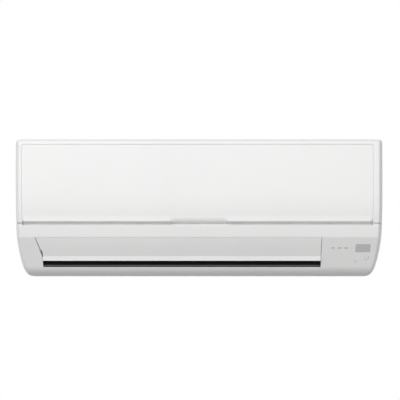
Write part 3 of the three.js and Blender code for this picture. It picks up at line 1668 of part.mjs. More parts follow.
function offsetPath(points, distance) {
  const last = points.length - 1;
  return points.map((point, i) => {
    const along = points[Math.min(last, i + 1)].clone().sub(points[Math.max(0, i - 1)]).normalize();
    return point.clone().add(new THREE.Vector2(along.y, -along.x).multiplyScalar(distance));
  });
}

function sheetSection(points, inner, outer) {
  const sheet = [...offsetPath(points, inner), ...offsetPath(points, outer).reverse()];
  return sheet.map((point) => [point.x, point.y]);
}

function airFilter(x0, x1) {
  const path = filterPath();
  const netInner = (filterRibThickness - filterThickness) / 2;
  const ribs = sheetSection(path, 0, filterRibThickness);
  const pitch = (x1 - x0 - filterRibWidth) / (filterRibCount - 1);
  let filter = sectionRun(sheetSection(path, netInner, netInner + filterThickness), x0 + 0.5, x1 - 0.5);
  for (let i = 0; i < filterRibCount; i += 1) {
    const x = x0 + i * pitch;
    filter = filter.add(sectionRun(ribs, x, x + filterRibWidth));
  }
  const near = path[0].x - 0.2;
  const far = near + filterRibThickness + 0.3;
  const low = path[0].y;
  const crossBars = [-0.4, filterBarRise].map((rise) =>
    block(x0 + 0.3, x1 - 0.3, near, far, low + rise, low + rise + filterRibWidth),
  );
  const { half, drop, rise, offset } = filterTab;
  const middle = (x0 + x1) / 2 + offset;
  const tab = block(middle - half, middle + half, near - 0.1, far + 0.1, low - drop, low + rise);
  return join(filter, ...crossBars, tab);
}

// ---- Control box at the right end ----
function controlBoxSolid() {
  const { left, right, back, front, bottom, top, wall, cornerRadius } = controlBox;
  const beyond = front + cutterReach;
  const shell = block(left, right, back, front, bottom, top, cornerRadius);
  const inner = cornerRadius - 1;
  const inside = block(left + wall, right - wall, back + wall, beyond, bottom + wall, top - wall, inner);
  const gapBack = back + leadGap.back;
  const leads = block(
    left - cutterReach,
    left + wall + cutterReach,
    gapBack,
    beyond,
    bottom + leadGap.bottom,
    bottom + leadGap.top,
  );
  return cut(shell, inside, leads);
}

function controlBoxCover() {
  const { left, right, front, bottom, top, cornerRadius } = controlBox;
  const seat = front + fitGap;
  const plate = block(left, right, seat, seat + coverThickness, bottom, top, cornerRadius);
  const { inset, rise, thickness } = coverRib;
  const low = bottom + rise;
  const rib = block(left + inset, right - inset, seat - thickness, seat + sheetOverlap, low, low + thickness);
  return plate.add(rib);
}

// The parts on the board sink a little into it, so that each is one body with it.
function onBoard(left, right, face, height, bottom, top) {
  return block(left, right, face - sheetOverlap, face + height, bottom, top);
}

function mainCircuitBoard() {
  const { left, right, back, wall } = controlBox;
  const { rise, drop, standOff, thickness, inset } = mainBoard;
  const bottom = controlBox.bottom + rise;
  const top = controlBox.top - drop;
  const floor = back + wall + fitGap;
  const underside = floor + standOff;
  const face = underside + thickness;
  const board = block(left + inset, right - inset, underside, face, bottom, top);
  const postRows = [bottom + boardPost.rise, top - boardPost.rise];
  const posts = [left + boardPost.inset, right - boardPost.inset].flatMap((x) =>
    postRows.map((z) => rodAlongDepth(boardPost.radius, x, z, floor, underside + 0.5, 4)),
  );
  const parts = [];
  for (let i = 0; i < relay.count; i += 1) {
    const x = left + relay.inset + i * relay.pitch;
    const low = bottom + relay.rise;
    parts.push(onBoard(x, x + relay.width, face, relay.height, low, low + relay.tall));
  }
  const coil = transformer;
  const coilRows = [top - coil.bottom, top - coil.top];
  parts.push(onBoard(left + coil.left, left + coil.right, face, coil.height, ...coilRows));
  const canX = right - capacitor.inset;
  const canTop = face + coil.height;
  parts.push(rodAlongDepth(capacitor.radius, canX, top - capacitor.drop, face - sheetOverlap, canTop, 8));
  for (let i = 0; i < socket.count; i += 1) {
    const x = right - socket.inset;
    const z = bottom + socket.rise + i * socket.pitch;
    parts.push(onBoard(x, x + socket.width, face, socket.height, z, z + socket.tall));
  }
  return join(board, ...posts, ...parts);
}

function terminalBlockSolid() {
  const { left, right, height, depth } = terminalBlock;
  const floor = controlBox.back + controlBox.wall + fitGap;
  const face = floor + depth;
  const low = controlBox.bottom + controlBox.wall + terminalRise;
  const body = block(left, right, floor, face, low, low + height);
  const pitch = (right - left) / terminalWays;
  const half = pitch * terminalWell.share;
  const wells = [];
  for (let i = 0; i < terminalWays; i += 1) {
    const x = left + (i + 0.5) * pitch;
    const wellLow = low + terminalWell.rise;
    wells.push(block(x - half, x + half, face - terminalWell.depth, face + 1, wellLow, low + height + 1));
  }
  return cut(body, ...wells);
}

// ---- Frame screw and its tower on the chassis ----
function frameScrewSolid() {
  const { height, front, bore } = screwTower;
  const { shankRadius, headRadius, headLength } = screwSize;
  const shank = rodAlongDepth(shankRadius, frameScrew.x, height, front - bore + 2, front + 1, 4);
  const head = rodAlongDepth(headRadius, frameScrew.x, height, front + fitGap, front + headLength, 6);
  return shank.add(head);
}

const group = new THREE.Group();

function place(name, solid, material) {
  const mesh = new THREE.Mesh(geometryOf(solid), material);
  mesh.name = name;
  group.add(mesh);
}

place("front_frame", frontFrame(), whitePlastic);
place("front_panel", frontPanel(), whitePlastic);
place("intake_grille", intakeGrille(), whitePlastic);
place("display_window", displayWindow(), windowPlastic);
for (let i = 0; i < lampLens.count; i += 1) {
  place(`lamp_lens_${i + 1}`, lampLensSolid(i), windowPlastic);
}
place("display_board", displayBoard(), circuitGreen);
place("auto_button", autoButtonSolid(), whitePlastic);
place("frame_screw_cap", frameScrewCap(), whitePlastic);
place("mounting_plate", mountingPlate(), steel);
place("rear_chassis", rearChassis(), innerPlastic);
place("fan_motor", fanMotor(), steel);
place("motor_ring_left", motorRing(motorLeft - motorRingLength + motorRingInset), rubber);
place("motor_ring_right", motorRing(motorLeft + motorLength + motorRingInset), rubber);
place("motor_clamp", motorClamp(), steel);
place("cross_flow_fan", crossFlowFan(), blackPlastic);
place("motor_shaft", motorShaft(), steel);
place("fan_stub_shaft", fanStubShaft(), steel);
place("fan_bearing", fanBearing(), rubber);
place("drain_pan", drainPan(), blackPlastic);
place("main_flap", mainFlap(), whitePlastic);
place("flap_centre_bracket", flapCentreBracket(), blackPlastic);
place("flap_bush", flapBush(), greyPlastic);
place("flap_motor", flapMotor(), steel);
for (let i = 0; i < vaneCount; i += 1) {
  place(`vane_${i + 1}`, vane(i), blackPlastic);
}
place("vane_bar_left", vaneBar(0), blackPlastic);
place("vane_bar_right", vaneBar(1), blackPlastic);
place("lower_fin_block", finBlock(lowerSlab), aluminium);
place("upper_fin_block", finBlock(upperSlab), aluminium);
place("rear_fin_block", finBlock(rearSlab), aluminium);
place("coil_tubes", coilTubes(), copper);
place("coil_plate_left", endPlate(coilLeft - fitGap - coilPlateThickness, sideWallLeft), aluminium);
place("coil_plate_right", endPlate(coilRight + fitGap, sideWallRight + chassisWall), aluminium);
place("gas_pipe", connectingPipe(gasPipe, coilOrder().at(-1)), copper);
place("liquid_pipe", connectingPipe(liquidPipe, coilOrder()[0]), copper);
place("gas_flare_nut", flareNut(gasPipe), brass);
place("liquid_flare_nut", flareNut(liquidPipe), brass);
place("pipe_clamp", pipeClamp(), greyPlastic);
place("drain_plug", drainPlug(), rubber);
place("air_filter_left", airFilter(filterLeft, filterMiddle - filterMiddleGap / 2), meshPlastic);
place("air_filter_right", airFilter(filterMiddle + filterMiddleGap / 2, filterRight), meshPlastic);
place("control_box", controlBoxSolid(), greyPlastic);
place("control_box_cover", controlBoxCover(), steel);
place("main_circuit_board", mainCircuitBoard(), circuitGreen);
place("terminal_block", terminalBlockSolid(), blackPlastic);
place("frame_screw", frameScrewSolid(), steel);

export default group;
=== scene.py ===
import json
import math

import bmesh
import bpy
from mathutils import Matrix, Vector, geometry


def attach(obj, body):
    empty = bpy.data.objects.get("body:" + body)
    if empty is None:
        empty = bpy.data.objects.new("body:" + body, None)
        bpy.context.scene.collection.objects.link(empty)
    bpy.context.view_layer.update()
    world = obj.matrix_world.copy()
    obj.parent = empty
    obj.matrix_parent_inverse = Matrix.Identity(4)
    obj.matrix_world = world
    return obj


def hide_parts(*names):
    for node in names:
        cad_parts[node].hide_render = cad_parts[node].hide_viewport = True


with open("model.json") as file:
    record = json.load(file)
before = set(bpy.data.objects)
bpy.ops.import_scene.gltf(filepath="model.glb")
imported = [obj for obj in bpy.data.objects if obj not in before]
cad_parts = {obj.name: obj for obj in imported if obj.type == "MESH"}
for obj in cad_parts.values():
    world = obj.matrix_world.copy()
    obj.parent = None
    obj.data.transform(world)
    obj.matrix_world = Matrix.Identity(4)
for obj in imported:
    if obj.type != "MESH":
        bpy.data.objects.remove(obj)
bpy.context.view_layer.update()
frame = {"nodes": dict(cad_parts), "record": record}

# ---- Camera ----
# A long lens square to the front, level with the unit's middle, as the photograph was taken.
camera_data = bpy.data.cameras.new("studio_camera")
camera_data.lens = 112.0
camera_data.sensor_width = 36
camera_data.clip_end = 50
camera = bpy.data.objects.new("studio_camera", camera_data)
camera.location = (0.0019, -2.785, 0.0185)
camera.rotation_euler = (math.radians(90), 0, 0)
bpy.context.scene.collection.objects.link(camera)
bpy.context.scene.camera = camera
bpy.context.scene.view_settings.view_transform = "Standard"


# ---- Mounting plate ----
# A zinc-plated steel sheet, blanked and pressed, with two hooks folded forward from it.
# It is screwed to the wall first, and the whole unit hangs on its hooks.
def node_group(name, inputs, outputs):
    group = bpy.data.node_groups.new(name, "ShaderNodeTree")
    for label, value in inputs:
        socket = group.interface.new_socket(label, in_out="INPUT", socket_type="NodeSocketFloat")
        socket.default_value = value
    for label in outputs:
        group.interface.new_socket(label, in_out="OUTPUT", socket_type="NodeSocketFloat")
    return group, group.nodes.new("NodeGroupInput"), group.nodes.new("NodeGroupOutput")


# Gives a socket another node's output, a colour or a plain number.
def feed(tree, socket, value):
    if isinstance(value, bpy.types.NodeSocket):
        tree.links.new(value, socket)
    else:
        socket.default_value = (*value, 1.0) if isinstance(value, tuple) else value


# Carries a value from one range to another, cut off at both ends.
def ranged(tree, source, low_in, high_in, low_out, high_out):
    node = tree.nodes.new("ShaderNodeMapRange")
    for socket, value in zip(list(node.inputs)[:5], (source, low_in, high_in, low_out, high_out)):
        feed(tree, socket, value)
    return node.outputs["Result"]


def multiplied(tree, first, second):
    node = tree.nodes.new("ShaderNodeMath")
    node.operation = "MULTIPLY"
    feed(tree, node.inputs[0], first)
    feed(tree, node.inputs[1], second)
    return node.outputs["Value"]


def mixed(tree, factor, first, second):
    node = tree.nodes.new("ShaderNodeMix")
    node.data_type = "RGBA"
    for label, value in (("Factor", factor), ("A", first), ("B", second)):
        feed(tree, node.inputs[label], value)
    return node.outputs["Result"]


# A texture that keeps its place on the piece, at real scale.
def pattern(tree, kind, **values):
    node = tree.nodes.new(kind)
    place = tree.nodes.new("ShaderNodeTexCoord")
    feed(tree, node.inputs["Vector"], place.outputs["Object"])
    for label, value in values.items():
        feed(tree, node.inputs[label], value)
    return node


# Fine moulding or rolling grain, and the slow drift of shade that any large part shows.
def make_surface_grain():
    group, given, result = node_group(
        "surface_grain", [("Grain Scale", 2200.0), ("Drift Scale", 9.0)], ["Grain", "Drift"])
    for label, detail in (("Grain", 3.0), ("Drift", 2.0)):
        noise = pattern(group, "ShaderNodeTexNoise", Scale=given.outputs[label + " Scale"], Detail=detail)
        feed(group, result.inputs[label], noise.outputs["Fac"])
    return group


# Rubbed edges: the sharpest convex places, broken up so that no edge is worn evenly.
def make_edge_rub():
    group, given, result = node_group("edge_rub", [("Breakup Scale", 60.0)], ["Rub"])
    shape = group.nodes.new("ShaderNodeNewGeometry")
    breakup = pattern(group, "ShaderNodeTexNoise", Scale=given.outputs["Breakup Scale"], Detail=4.0)
    sharp = ranged(group, shape.outputs["Pointiness"], 0.52, 0.62, 0.0, 1.0)
    patchy = ranged(group, breakup.outputs["Fac"], 0.42, 0.68, 0.15, 1.0)
    feed(group, result.inputs["Rub"], multiplied(group, sharp, patchy))
    return group


surface_grain = make_surface_grain()
edge_rub = make_edge_rub()


def add_group(tree, group, **values):
    node = tree.nodes.new("ShaderNodeGroup")
    node.node_tree = group
    for label, value in values.items():
        node.inputs[label.replace("_", " ")].default_value = value
    return node


def add_relief(tree, height, strength, distance_mm):
    bump = tree.nodes.new("ShaderNodeBump")
    bump.inputs["Strength"].default_value = strength
    bump.inputs["Distance"].default_value = distance_mm / 1000
    feed(tree, bump.inputs["Height"], height)
    feed(tree, tree.nodes["Principled BSDF"].inputs["Normal"], bump.outputs["Normal"])


# Lays a colour over what a finish has so far, where the mask shows it.
def overlay(tree, mask, colour):
    base = tree.nodes["Principled BSDF"].inputs["Base Color"]
    feed(tree, base, mixed(tree, mask, base.links[0].from_socket, colour))


def scaled(colour, share):
    return tuple(min(1.0, part * share) for part in colour)


# One finish: a base colour that drifts a little, rubbed edges, uneven gloss and a fine grain.
def finish(name, colour, roughness, metallic=0.0, drift=0.05, grain_mm=0.5, relief=0.12,
           rub=(0.9, 0.9, 0.9), rub_share=0.25, drift_scale=9.0, uneven=0.06, coat=0.0):
    material = bpy.data.materials.new(name)
    material.use_nodes = True
    tree = material.node_tree
    shader = tree.nodes["Principled BSDF"]
    shader.inputs["Metallic"].default_value = metallic
    shader.inputs["Coat Weight"].default_value = coat
    grain = add_group(tree, surface_grain, Grain_Scale=1000.0 / grain_mm, Drift_Scale=drift_scale)
    rubbed = add_group(tree, edge_rub, Breakup_Scale=70.0)
    shade = ranged(tree, grain.outputs["Drift"], 0.35, 0.65, 0.0, 1.0)
    body = mixed(tree, shade, scaled(colour, 1 - drift), scaled(colour, 1 + drift))
    feed(tree, shader.inputs["Base Color"],
         mixed(tree, multiplied(tree, rubbed.outputs["Rub"], rub_share), body, rub))
    feed(tree, shader.inputs["Roughness"],
         ranged(tree, grain.outputs["Drift"], 0.3, 0.7, roughness - uneven, roughness + uneven))
    add_relief(tree, grain.outputs["Grain"], relief, grain_mm * 0.2)
    return material


# Zinc plating freezes in spangles: flat crystals of slightly unlike shade.
def add_spangle(material, scale, spread):
    tree = material.node_tree
    crystal = pattern(tree, "ShaderNodeTexVoronoi", Scale=scale)
    shade = tree.nodes.new("ShaderNodeSeparateColor")
    feed(tree, shade.inputs["Color"], crystal.outputs["Color"])
    overlay(tree, ranged(tree, shade.outputs["Red"], 0.0, 1.0, 0.0, spread), (0.20, 0.22, 0.23))


bodies_of_nodes = {
    node: body
    for body, nodes in frame["record"]["behaviour"]["bodies"].items()
    for node in nodes
}


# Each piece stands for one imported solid, moves as it does and takes its finish.
def place_piece(piece, node, material):
    piece.data.materials.clear()
    piece.data.materials.append(material)
    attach(piece, bodies_of_nodes[node])
    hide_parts(node)


def link_mesh(name, shape):
    mesh = bpy.data.meshes.new(name)
    shape.to_mesh(mesh)
    shape.free()
    piece = bpy.data.objects.new(name, mesh)
    bpy.context.scene.collection.objects.link(piece)
    return piece


# Edges that turn more than this stay crisp corners, and the rest is shaded as one curve.
corner_angle = math.radians(32)


def mark_corners(shape, limit=corner_angle):
    for edge in shape.edges:
        edge.smooth = len(edge.link_faces) == 2 and edge.calc_face_angle(0.0) < limit


# Rounds the corners of a piece as its tool leaves them, and keeps its flat faces flat.
def ease_edges(piece, width_mm):
    for face in piece.data.polygons:
        face.use_smooth = True
    if width_mm > 0:
        easing = piece.modifiers.new("eased_edges", "BEVEL")
        easing.width = width_mm / 1000
        easing.segments = 2
        easing.limit_method = "ANGLE"
        easing.angle_limit = corner_angle
    level = piece.modifiers.new("flat_faces", "WEIGHTED_NORMAL")
    level.keep_sharp = True
    level.weight = 60
    return piece


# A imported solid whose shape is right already, with its loose triangles joined into whole faces.
def moulded_copy(node, name, width_mm, material):
    shape = bmesh.new()
    shape.from_mesh(frame["nodes"][node].data)
    bmesh.ops.remove_doubles(shape, verts=shape.verts, dist=1e-6)
    bmesh.ops.dissolve_limit(
        shape, angle_limit=math.radians(0.6), use_dissolve_boundaries=False,
        verts=shape.verts, edges=shape.edges, delimit=set())
    mark_corners(shape)
    place_piece(ease_edges(link_mesh(name, shape), width_mm), node, material)


zinc_steel = finish("zinc_plated_steel", (0.50, 0.52, 0.53), 0.42, metallic=1.0, drift=0.08, grain_mm=0.8,
                    relief=0.10, rub=(0.75, 0.76, 0.77), rub_share=0.35, drift_scale=14.0, uneven=0.08)
add_spangle(zinc_steel, 90.0, 0.35)
moulded_copy("mounting_plate", "wall_plate", 0.35, zinc_steel)


# ---- Chassis ----
# The large base moulding: back plate, pipe channel, fan scroll, outlet floor, end walls and motor cradle
# in one. It is black polystyrene, so that the outlet looks dark from the room.
chassis_plastic = finish("graphite_moulding", (0.030, 0.031, 0.033), 0.50, drift=0.12, grain_mm=0.9,
                         relief=0.25, rub=(0.16, 0.16, 0.16), rub_share=0.30)
moulded_copy("rear_chassis", "base_moulding", 0.3, chassis_plastic)


# ---- Cross-flow fan ----
# A long drum of curved blades welded between thin discs, all of black glass-filled plastic.
# It runs on the motor's shaft at the right and on a stub shaft in a rubber bearing at the left.
axis_depth, axis_height = 92.0, 128.0
drum_left, drum_right, drum_radius = -318.0, 244.0, 46.0
blade_count, blade_thickness, blade_bow, blade_lean = 35, 1.3, 2.1, 9.0
blade_tip, blade_root = drum_radius - 0.6, drum_radius - 13.5
disc_count, disc_thickness, disc_bore = 9, 2.4, drum_radius - 16
stub_bore, stub_hub_radius, stub_hub_length = 3.4, 9.0, 13.5
shaft_bore, shaft_hub_radius, shaft_hub_length = 4.4, 13.0, 25.0


# A place of the unit in millimetres: across it, out from the wall and up from its underside.
def at(x, depth, height):
    return Vector((x, -depth, height - 145.0)) / 1000


axis_point = at(0, axis_depth, axis_height)


def drum_blades():
    section = []
    for side in (1, -1):
        for step in range(6):
            share = step / 5 if side == 1 else 1 - step / 5
            radius = blade_root + (blade_tip - blade_root) * share
            middle = blade_bow * 4 * share * (1 - share) + blade_lean * share ** 2
            lift = middle + side * blade_thickness / 2
            section.append((axis_depth - math.sqrt(radius ** 2 - lift ** 2), axis_height + lift))
    shape = bmesh.new()
    outline = shape.faces.new([shape.verts.new(at(drum_left + 1, *point)) for point in section])
    grown = bmesh.ops.extrude_face_region(shape, geom=[outline])
    moved = [item for item in grown["geom"] if isinstance(item, bmesh.types.BMVert)]
    bmesh.ops.translate(shape, verts=moved, vec=((drum_right - drum_left - 2) / 1000, 0, 0))
    bmesh.ops.recalc_face_normals(shape, faces=shape.faces)
    bmesh.ops.spin(
        shape, geom=shape.verts[:] + shape.edges[:] + shape.faces[:], cent=axis_point, axis=(1, 0, 0),
        angle=2 * math.pi * (blade_count - 1) / blade_count, steps=blade_count - 1, use_duplicate=True)
    return shape


def add_ring(shape, x, length, inner, outer, sides=64, rim=0.4):
    section = [(x, inner), (x + length, inner), (x + length, outer - rim), (x + length - rim, outer),
               (x + rim, outer), (x, outer - rim)]
    verts = [shape.verts.new(at(place, axis_depth, axis_height + radius)) for place, radius in section]
    edges = [shape.edges.new(pair) for pair in zip(verts, verts[1:] + verts[:1])]
    bmesh.ops.spin(shape, geom=verts + edges, cent=axis_point, axis=(1, 0, 0),
                   angle=2 * math.pi, steps=sides, use_merge=True)


def fan_drum():
    drum = bmesh.new()
    last = disc_count - 1
    bores = {0: stub_bore, last: shaft_bore}
    for index in range(disc_count):
        x = drum_left + (drum_right - drum_left - disc_thickness) * index / last
        add_ring(drum, x, disc_thickness, bores.get(index, disc_bore), drum_radius)
    add_ring(drum, drum_left + 0.2, stub_hub_length, stub_bore, stub_hub_radius, 32)
    add_ring(drum, drum_right - 22, shaft_hub_length, shaft_bore, shaft_hub_radius, 32)
    bmesh.ops.remove_doubles(drum, verts=drum.verts, dist=1e-7)
    bmesh.ops.recalc_face_normals(drum, faces=drum.faces)
    blades = drum_blades()
    mesh = bpy.data.meshes.new("blades")
    blades.to_mesh(mesh)
    blades.free()
    drum.from_mesh(mesh)
    bpy.data.meshes.remove(mesh)
    mark_corners(drum, math.radians(35))
    return ease_edges(link_mesh("fan_drum", drum), 0)


fan_plastic = finish("fan_black_plastic", (0.018, 0.018, 0.019), 0.38, drift=0.15, grain_mm=0.6,
                     relief=0.15, rub=(0.12, 0.12, 0.12), rub_share=0.25)
place_piece(fan_drum(), "cross_flow_fan", fan_plastic)


# ---- Motor, shafts and bearing ----
# A steel-cased motor sits on rubber rings in the chassis cradle, held down by a strap of spring steel.
# The stub shaft at the other end turns in a rubber-mounted bearing pressed into the end wall.
turned_steel = finish("turned_steel", (0.56, 0.57, 0.58), 0.28, metallic=1.0, drift=0.05,
                      grain_mm=0.3, relief=0.08, rub=(0.8, 0.8, 0.8), drift_scale=40.0)
ring_rubber = finish("black_rubber", (0.022, 0.022, 0.023), 0.80, drift=0.2, grain_mm=0.7, relief=0.35,
                     rub=(0.08, 0.08, 0.08), rub_share=0.4)
moulded_copy("fan_motor", "motor_case", 0.4, zinc_steel)
moulded_copy("motor_clamp", "motor_strap", 0.2, zinc_steel)
moulded_copy("motor_shaft", "drive_shaft", 0.2, turned_steel)
moulded_copy("fan_stub_shaft", "stub_shaft", 0.2, turned_steel)
moulded_copy("motor_ring_left", "rubber_ring_left", 0.3, ring_rubber)
moulded_copy("motor_ring_right", "rubber_ring_right", 0.3, ring_rubber)
moulded_copy("fan_bearing", "bearing_cup", 0.3, ring_rubber)


# ---- Heat exchanger ----
# Thin aluminium fins are stacked on rows of copper tube, and the tubes are swelled to grip them.
# The three slabs wrap the fan, and a folded sheet at each end carries them on the chassis.
fin_pitch = 1.4


# Even stripes across one direction; a wave texture has 20 / (2 pi) of them to a unit of its scale.
def stripes(tree, direction, pitch_mm):
    wave = pattern(tree, "ShaderNodeTexWave", Scale=2 * math.pi / (20 * pitch_mm / 1000))
    wave.bands_direction = direction
    return wave.outputs["Fac"]


def add_fin_stripes_and_painted_gap_shade(material):
    tree = material.node_tree
    fins = stripes(tree, "X", fin_pitch)
    # Painted shade: near-black stripes between the fins stand for the shade down the gaps of the solid
    # block.
    overlay(tree, ranged(tree, fins, 0.25, 0.75, 0.85, 0.0), (0.05, 0.055, 0.06))
    add_relief(tree, fins, 0.6, 0.8)


fin_sheet = finish("bare_fin_aluminium", (0.62, 0.65, 0.67), 0.36, metallic=1.0, drift=0.06, grain_mm=0.5)
fin_stack = finish("stacked_fins", (0.60, 0.63, 0.65), 0.42, metallic=0.9, drift=0.08, grain_mm=0.5)
add_fin_stripes_and_painted_gap_shade(fin_stack)
copper = finish("drawn_copper", (0.70, 0.33, 0.19), 0.30, metallic=1.0, drift=0.16, grain_mm=0.4,
                relief=0.08, rub=(0.85, 0.50, 0.35), drift_scale=22.0, uneven=0.1)
moulded_copy("lower_fin_block", "lower_fin_stack", 0, fin_stack)
moulded_copy("upper_fin_block", "upper_fin_stack", 0, fin_stack)
moulded_copy("rear_fin_block", "rear_fin_stack", 0, fin_stack)
moulded_copy("coil_plate_left", "end_sheet_left", 0, fin_sheet)
moulded_copy("coil_plate_right", "end_sheet_right", 0, fin_sheet)
moulded_copy("coil_tubes", "coil_run", 0, copper)


# ---- Connecting pipes ----
# Two soft copper pipes leave the coil at the right and run left in the channel behind the unit.
# Each ends in a brass flare nut, and a plastic saddle holds the pair in the channel.
brass = finish("machined_brass", (0.58, 0.42, 0.14), 0.26, metallic=1.0, drift=0.08, grain_mm=0.3,
               relief=0.06, rub=(0.85, 0.7, 0.35), drift_scale=30.0)
grey_moulding = finish("grey_moulding", (0.26, 0.27, 0.28), 0.45, drift=0.08, grain_mm=0.6, relief=0.2,
                       rub=(0.5, 0.5, 0.5), rub_share=0.25)
moulded_copy("gas_pipe", "gas_line", 0, copper)
moulded_copy("liquid_pipe", "liquid_line", 0, copper)
moulded_copy("gas_flare_nut", "gas_nut", 0.4, brass)
moulded_copy("liquid_flare_nut", "liquid_nut", 0.4, brass)
moulded_copy("pipe_clamp", "pipe_saddle", 0.4, grey_moulding)


# ---- Drain pan ----
# A black moulded trough under the front slab that is also the fan's tongue and the outlet's roof.
# It has a spout at each end: the left one is closed with a rubber plug.
duct_plastic = finish("duct_black_plastic", (0.020, 0.020, 0.021), 0.52, drift=0.12, grain_mm=0.8,
                      relief=0.2, rub=(0.07, 0.07, 0.07), rub_share=0.3)
moulded_copy("drain_pan", "drip_trough", 0.25, duct_plastic)
moulded_copy("drain_plug", "spout_plug", 0.3, ring_rubber)


# ---- Vanes and their bars ----
# Ten thin black blades stand across the outlet on pins in its floor, five to a bar.
# Each bar is slid by hand, and turns its five blades left or right together.
for index in range(1, 11):
    moulded_copy(f"vane_{index}", f"blade_{index}", 0.3, duct_plastic)
for side in ("left", "right"):
    moulded_copy(f"vane_bar_{side}", f"blade_bar_{side}", 0.3, duct_plastic)


# ---- Outlet flap ----
# A long moulded louvre of white plastic that closes the outlet, bowed a little outwards.
# It turns on three arms; a small geared motor at the right drives it.
lip, strip_low = (158, 22), (192, 86)
outlet_left_top, outlet_left_bottom, outlet_right = -343.0, -329.0, 258.0
flap_knee = 53.0
flap_axis = (157.0, 50.0)
flap_low, flap_high, flap_wall, flap_bow = 38.0, 85.5, 3.0, 2.0
arm_places, arm_width, boss_radius, flap_pin_radius = (-320.0, 246.5, -31.0), 3.0, 5.5, 2.5
flap_pins = ((-331.4, -319.0), (247.5, 262.2), (-36.0, -30.0))

# Cutting tools reach past the body, out to here.
tool_front, tool_side = 225.0, 390.0


def curve_through(start, control_a, control_b, end, steps):
    made = geometry.interpolate_bezier(
        *(Vector((*point, 0)) for point in (start, control_a, control_b, end)), steps)
    return [Vector((point.x, point.y)) for point in made]


# A curve with one pull, which leaves its start and reaches its end along the lines to that pull.
def swung(start, pull, end, steps):
    first, last = ([here + (there - here) * 2 / 3 for here, there in zip(point, pull)]
                   for point in (start, end))
    return curve_through(start, first, last, end, steps)


# A flat outline run along a direction, as a closed solid.
def prism(name, points, travel):
    shape = bmesh.new()
    outline = shape.faces.new([shape.verts.new(point) for point in points])
    grown = bmesh.ops.extrude_face_region(shape, geom=[outline])
    moved = [item for item in grown["geom"] if isinstance(item, bmesh.types.BMVert)]
    bmesh.ops.translate(shape, verts=moved, vec=travel)
    bmesh.ops.recalc_face_normals(shape, faces=shape.faces)
    return link_mesh(name, shape)


# A section of distances from the wall and heights, run across the unit.
def run_across(name, section, x0, x1):
    return prism(name, [at(x0, *point) for point in section], Vector(((x1 - x0) / 1000, 0, 0)))


def disc_outline(radius, sides=32):
    return [(radius * math.cos(turn), radius * math.sin(turn))
            for turn in (2 * math.pi * step / sides for step in range(sides))]


def round_bar(name, radius, x0, x1, axis, sides=32):
    section = [(axis[0] + outwards, axis[1] + up) for outwards, up in disc_outline(radius, sides)]
    return run_across(name, section, x0, x1)


# Cuts or joins whole solids, then forgets the tools.
def worked(piece, *steps):
    for operation, tool in steps:
        step = piece.modifiers.new("work", "BOOLEAN")
        step.operation = operation
        step.solver = "EXACT"
        step.object = tool
    depsgraph = bpy.context.evaluated_depsgraph_get()
    mesh = bpy.data.meshes.new_from_object(piece.evaluated_get(depsgraph))
    piece.modifiers.clear()
    raw = piece.data
    piece.data = mesh
    bpy.data.meshes.remove(raw)
    for _, tool in steps:
        spent = tool.data
        bpy.data.objects.remove(tool)
        bpy.data.meshes.remove(spent)
    shape = bmesh.new()
    shape.from_mesh(mesh)
    bmesh.ops.remove_doubles(shape, verts=shape.verts, dist=2e-6)
    bmesh.ops.dissolve_degenerate(shape, dist=1e-6, edges=shape.edges)
    mark_corners(shape)
    shape.to_mesh(mesh)
    shape.free()
    return piece


# Places square to the slanted face, which runs from the outlet's lower lip up to the front strip.
slant = (Vector(strip_low) - Vector(lip)).normalized()


def behind_slant(height, inward):
    depth = lip[0] + (height - lip[1]) * (strip_low[0] - lip[0]) / (strip_low[1] - lip[1])
    return depth - slant.y * inward, height + slant.x * inward


# The lower edge is turned nearly upright, so that it catches the light.
flap_edge = ((169.7, 35.8), (171.4, 45.5), (169.0, 45.5), (167.5, 35.8))
arm_web = ((154, 54.5), (159, 45), behind_slant(47, 1.2), behind_slant(66, 1.2))


# An outline across the slanted face whose left edge is upright up to the knee, and leans out above it.
def outlet_outline(name, left_bottom, left_top, right, knee):
    low, high, back = lip[1], strip_low[1], 138
    corners = [(left_bottom, low), (right, low), (right, high), (left_top, high), (left_bottom, knee)]
    outline = [at(x, back, height) for x, height in corners]
    return prism(name, outline, at(0, tool_front, 0) - at(0, back, 0))


def flap_curve(inset):
    start, end = Vector(behind_slant(flap_low, inset)), Vector(behind_slant(flap_high, inset))
    return swung(start, (start + end) / 2 + Vector((slant.y, -slant.x)) * flap_bow, end, 20)


def outlet_flap():
    blade = run_across("outlet_louvre", flap_curve(0) + flap_curve(flap_wall)[::-1], -345, 257)
    blade = worked(blade, ("INTERSECT", outlet_outline(
        "reach", outlet_left_bottom + 0.8, outlet_left_top + 1.3, outlet_right - 2.5, flap_knee)))
    joined = [run_across("edge", flap_edge, -328.2, 255.5)]
    for x in arm_places:
        joined.append(round_bar("boss", boss_radius, x, x + arm_width, flap_axis))
        joined.append(run_across("web", arm_web, x, x + arm_width))
    joined += [round_bar("pin", flap_pin_radius, *ends, flap_axis) for ends in flap_pins]
    return ease_edges(worked(blade, *(("UNION", part) for part in joined)), 0.35)


def white_plastic(name):
    return finish(name, (0.83, 0.83, 0.825), 0.34, drift=0.012, grain_mm=0.5, relief=0.05,
                  rub=(0.90, 0.90, 0.89), rub_share=0.10, drift_scale=5.0, uneven=0.03)


white_moulding = white_plastic("satin_white_moulding")
place_piece(outlet_flap(), "main_flap", white_moulding)
moulded_copy("flap_centre_bracket", "flap_stay", 0.3, duct_plastic)
moulded_copy("flap_bush", "flap_sleeve", 0.2, grey_moulding)
moulded_copy("flap_motor", "flap_drive", 0.3, zinc_steel)


# ---- Air filters ----
# Fine woven net welded into a moulded rim, bent to slide up over the coil behind the front.
# Each has a thumb tab at its lower end, and is drawn out downwards once the panel is up.
thread_pitch = 1.6


def add_weave_and_painted_hole_shade(material):
    tree = material.node_tree
    holes = multiplied(tree, stripes(tree, "X", thread_pitch), stripes(tree, "Z", thread_pitch))
    # Painted shade: the holes are painted nearly black for the dark inside seen through them.
    overlay(tree, ranged(tree, holes, 0.2, 0.5, 0.0, 0.8), (0.01, 0.01, 0.012))


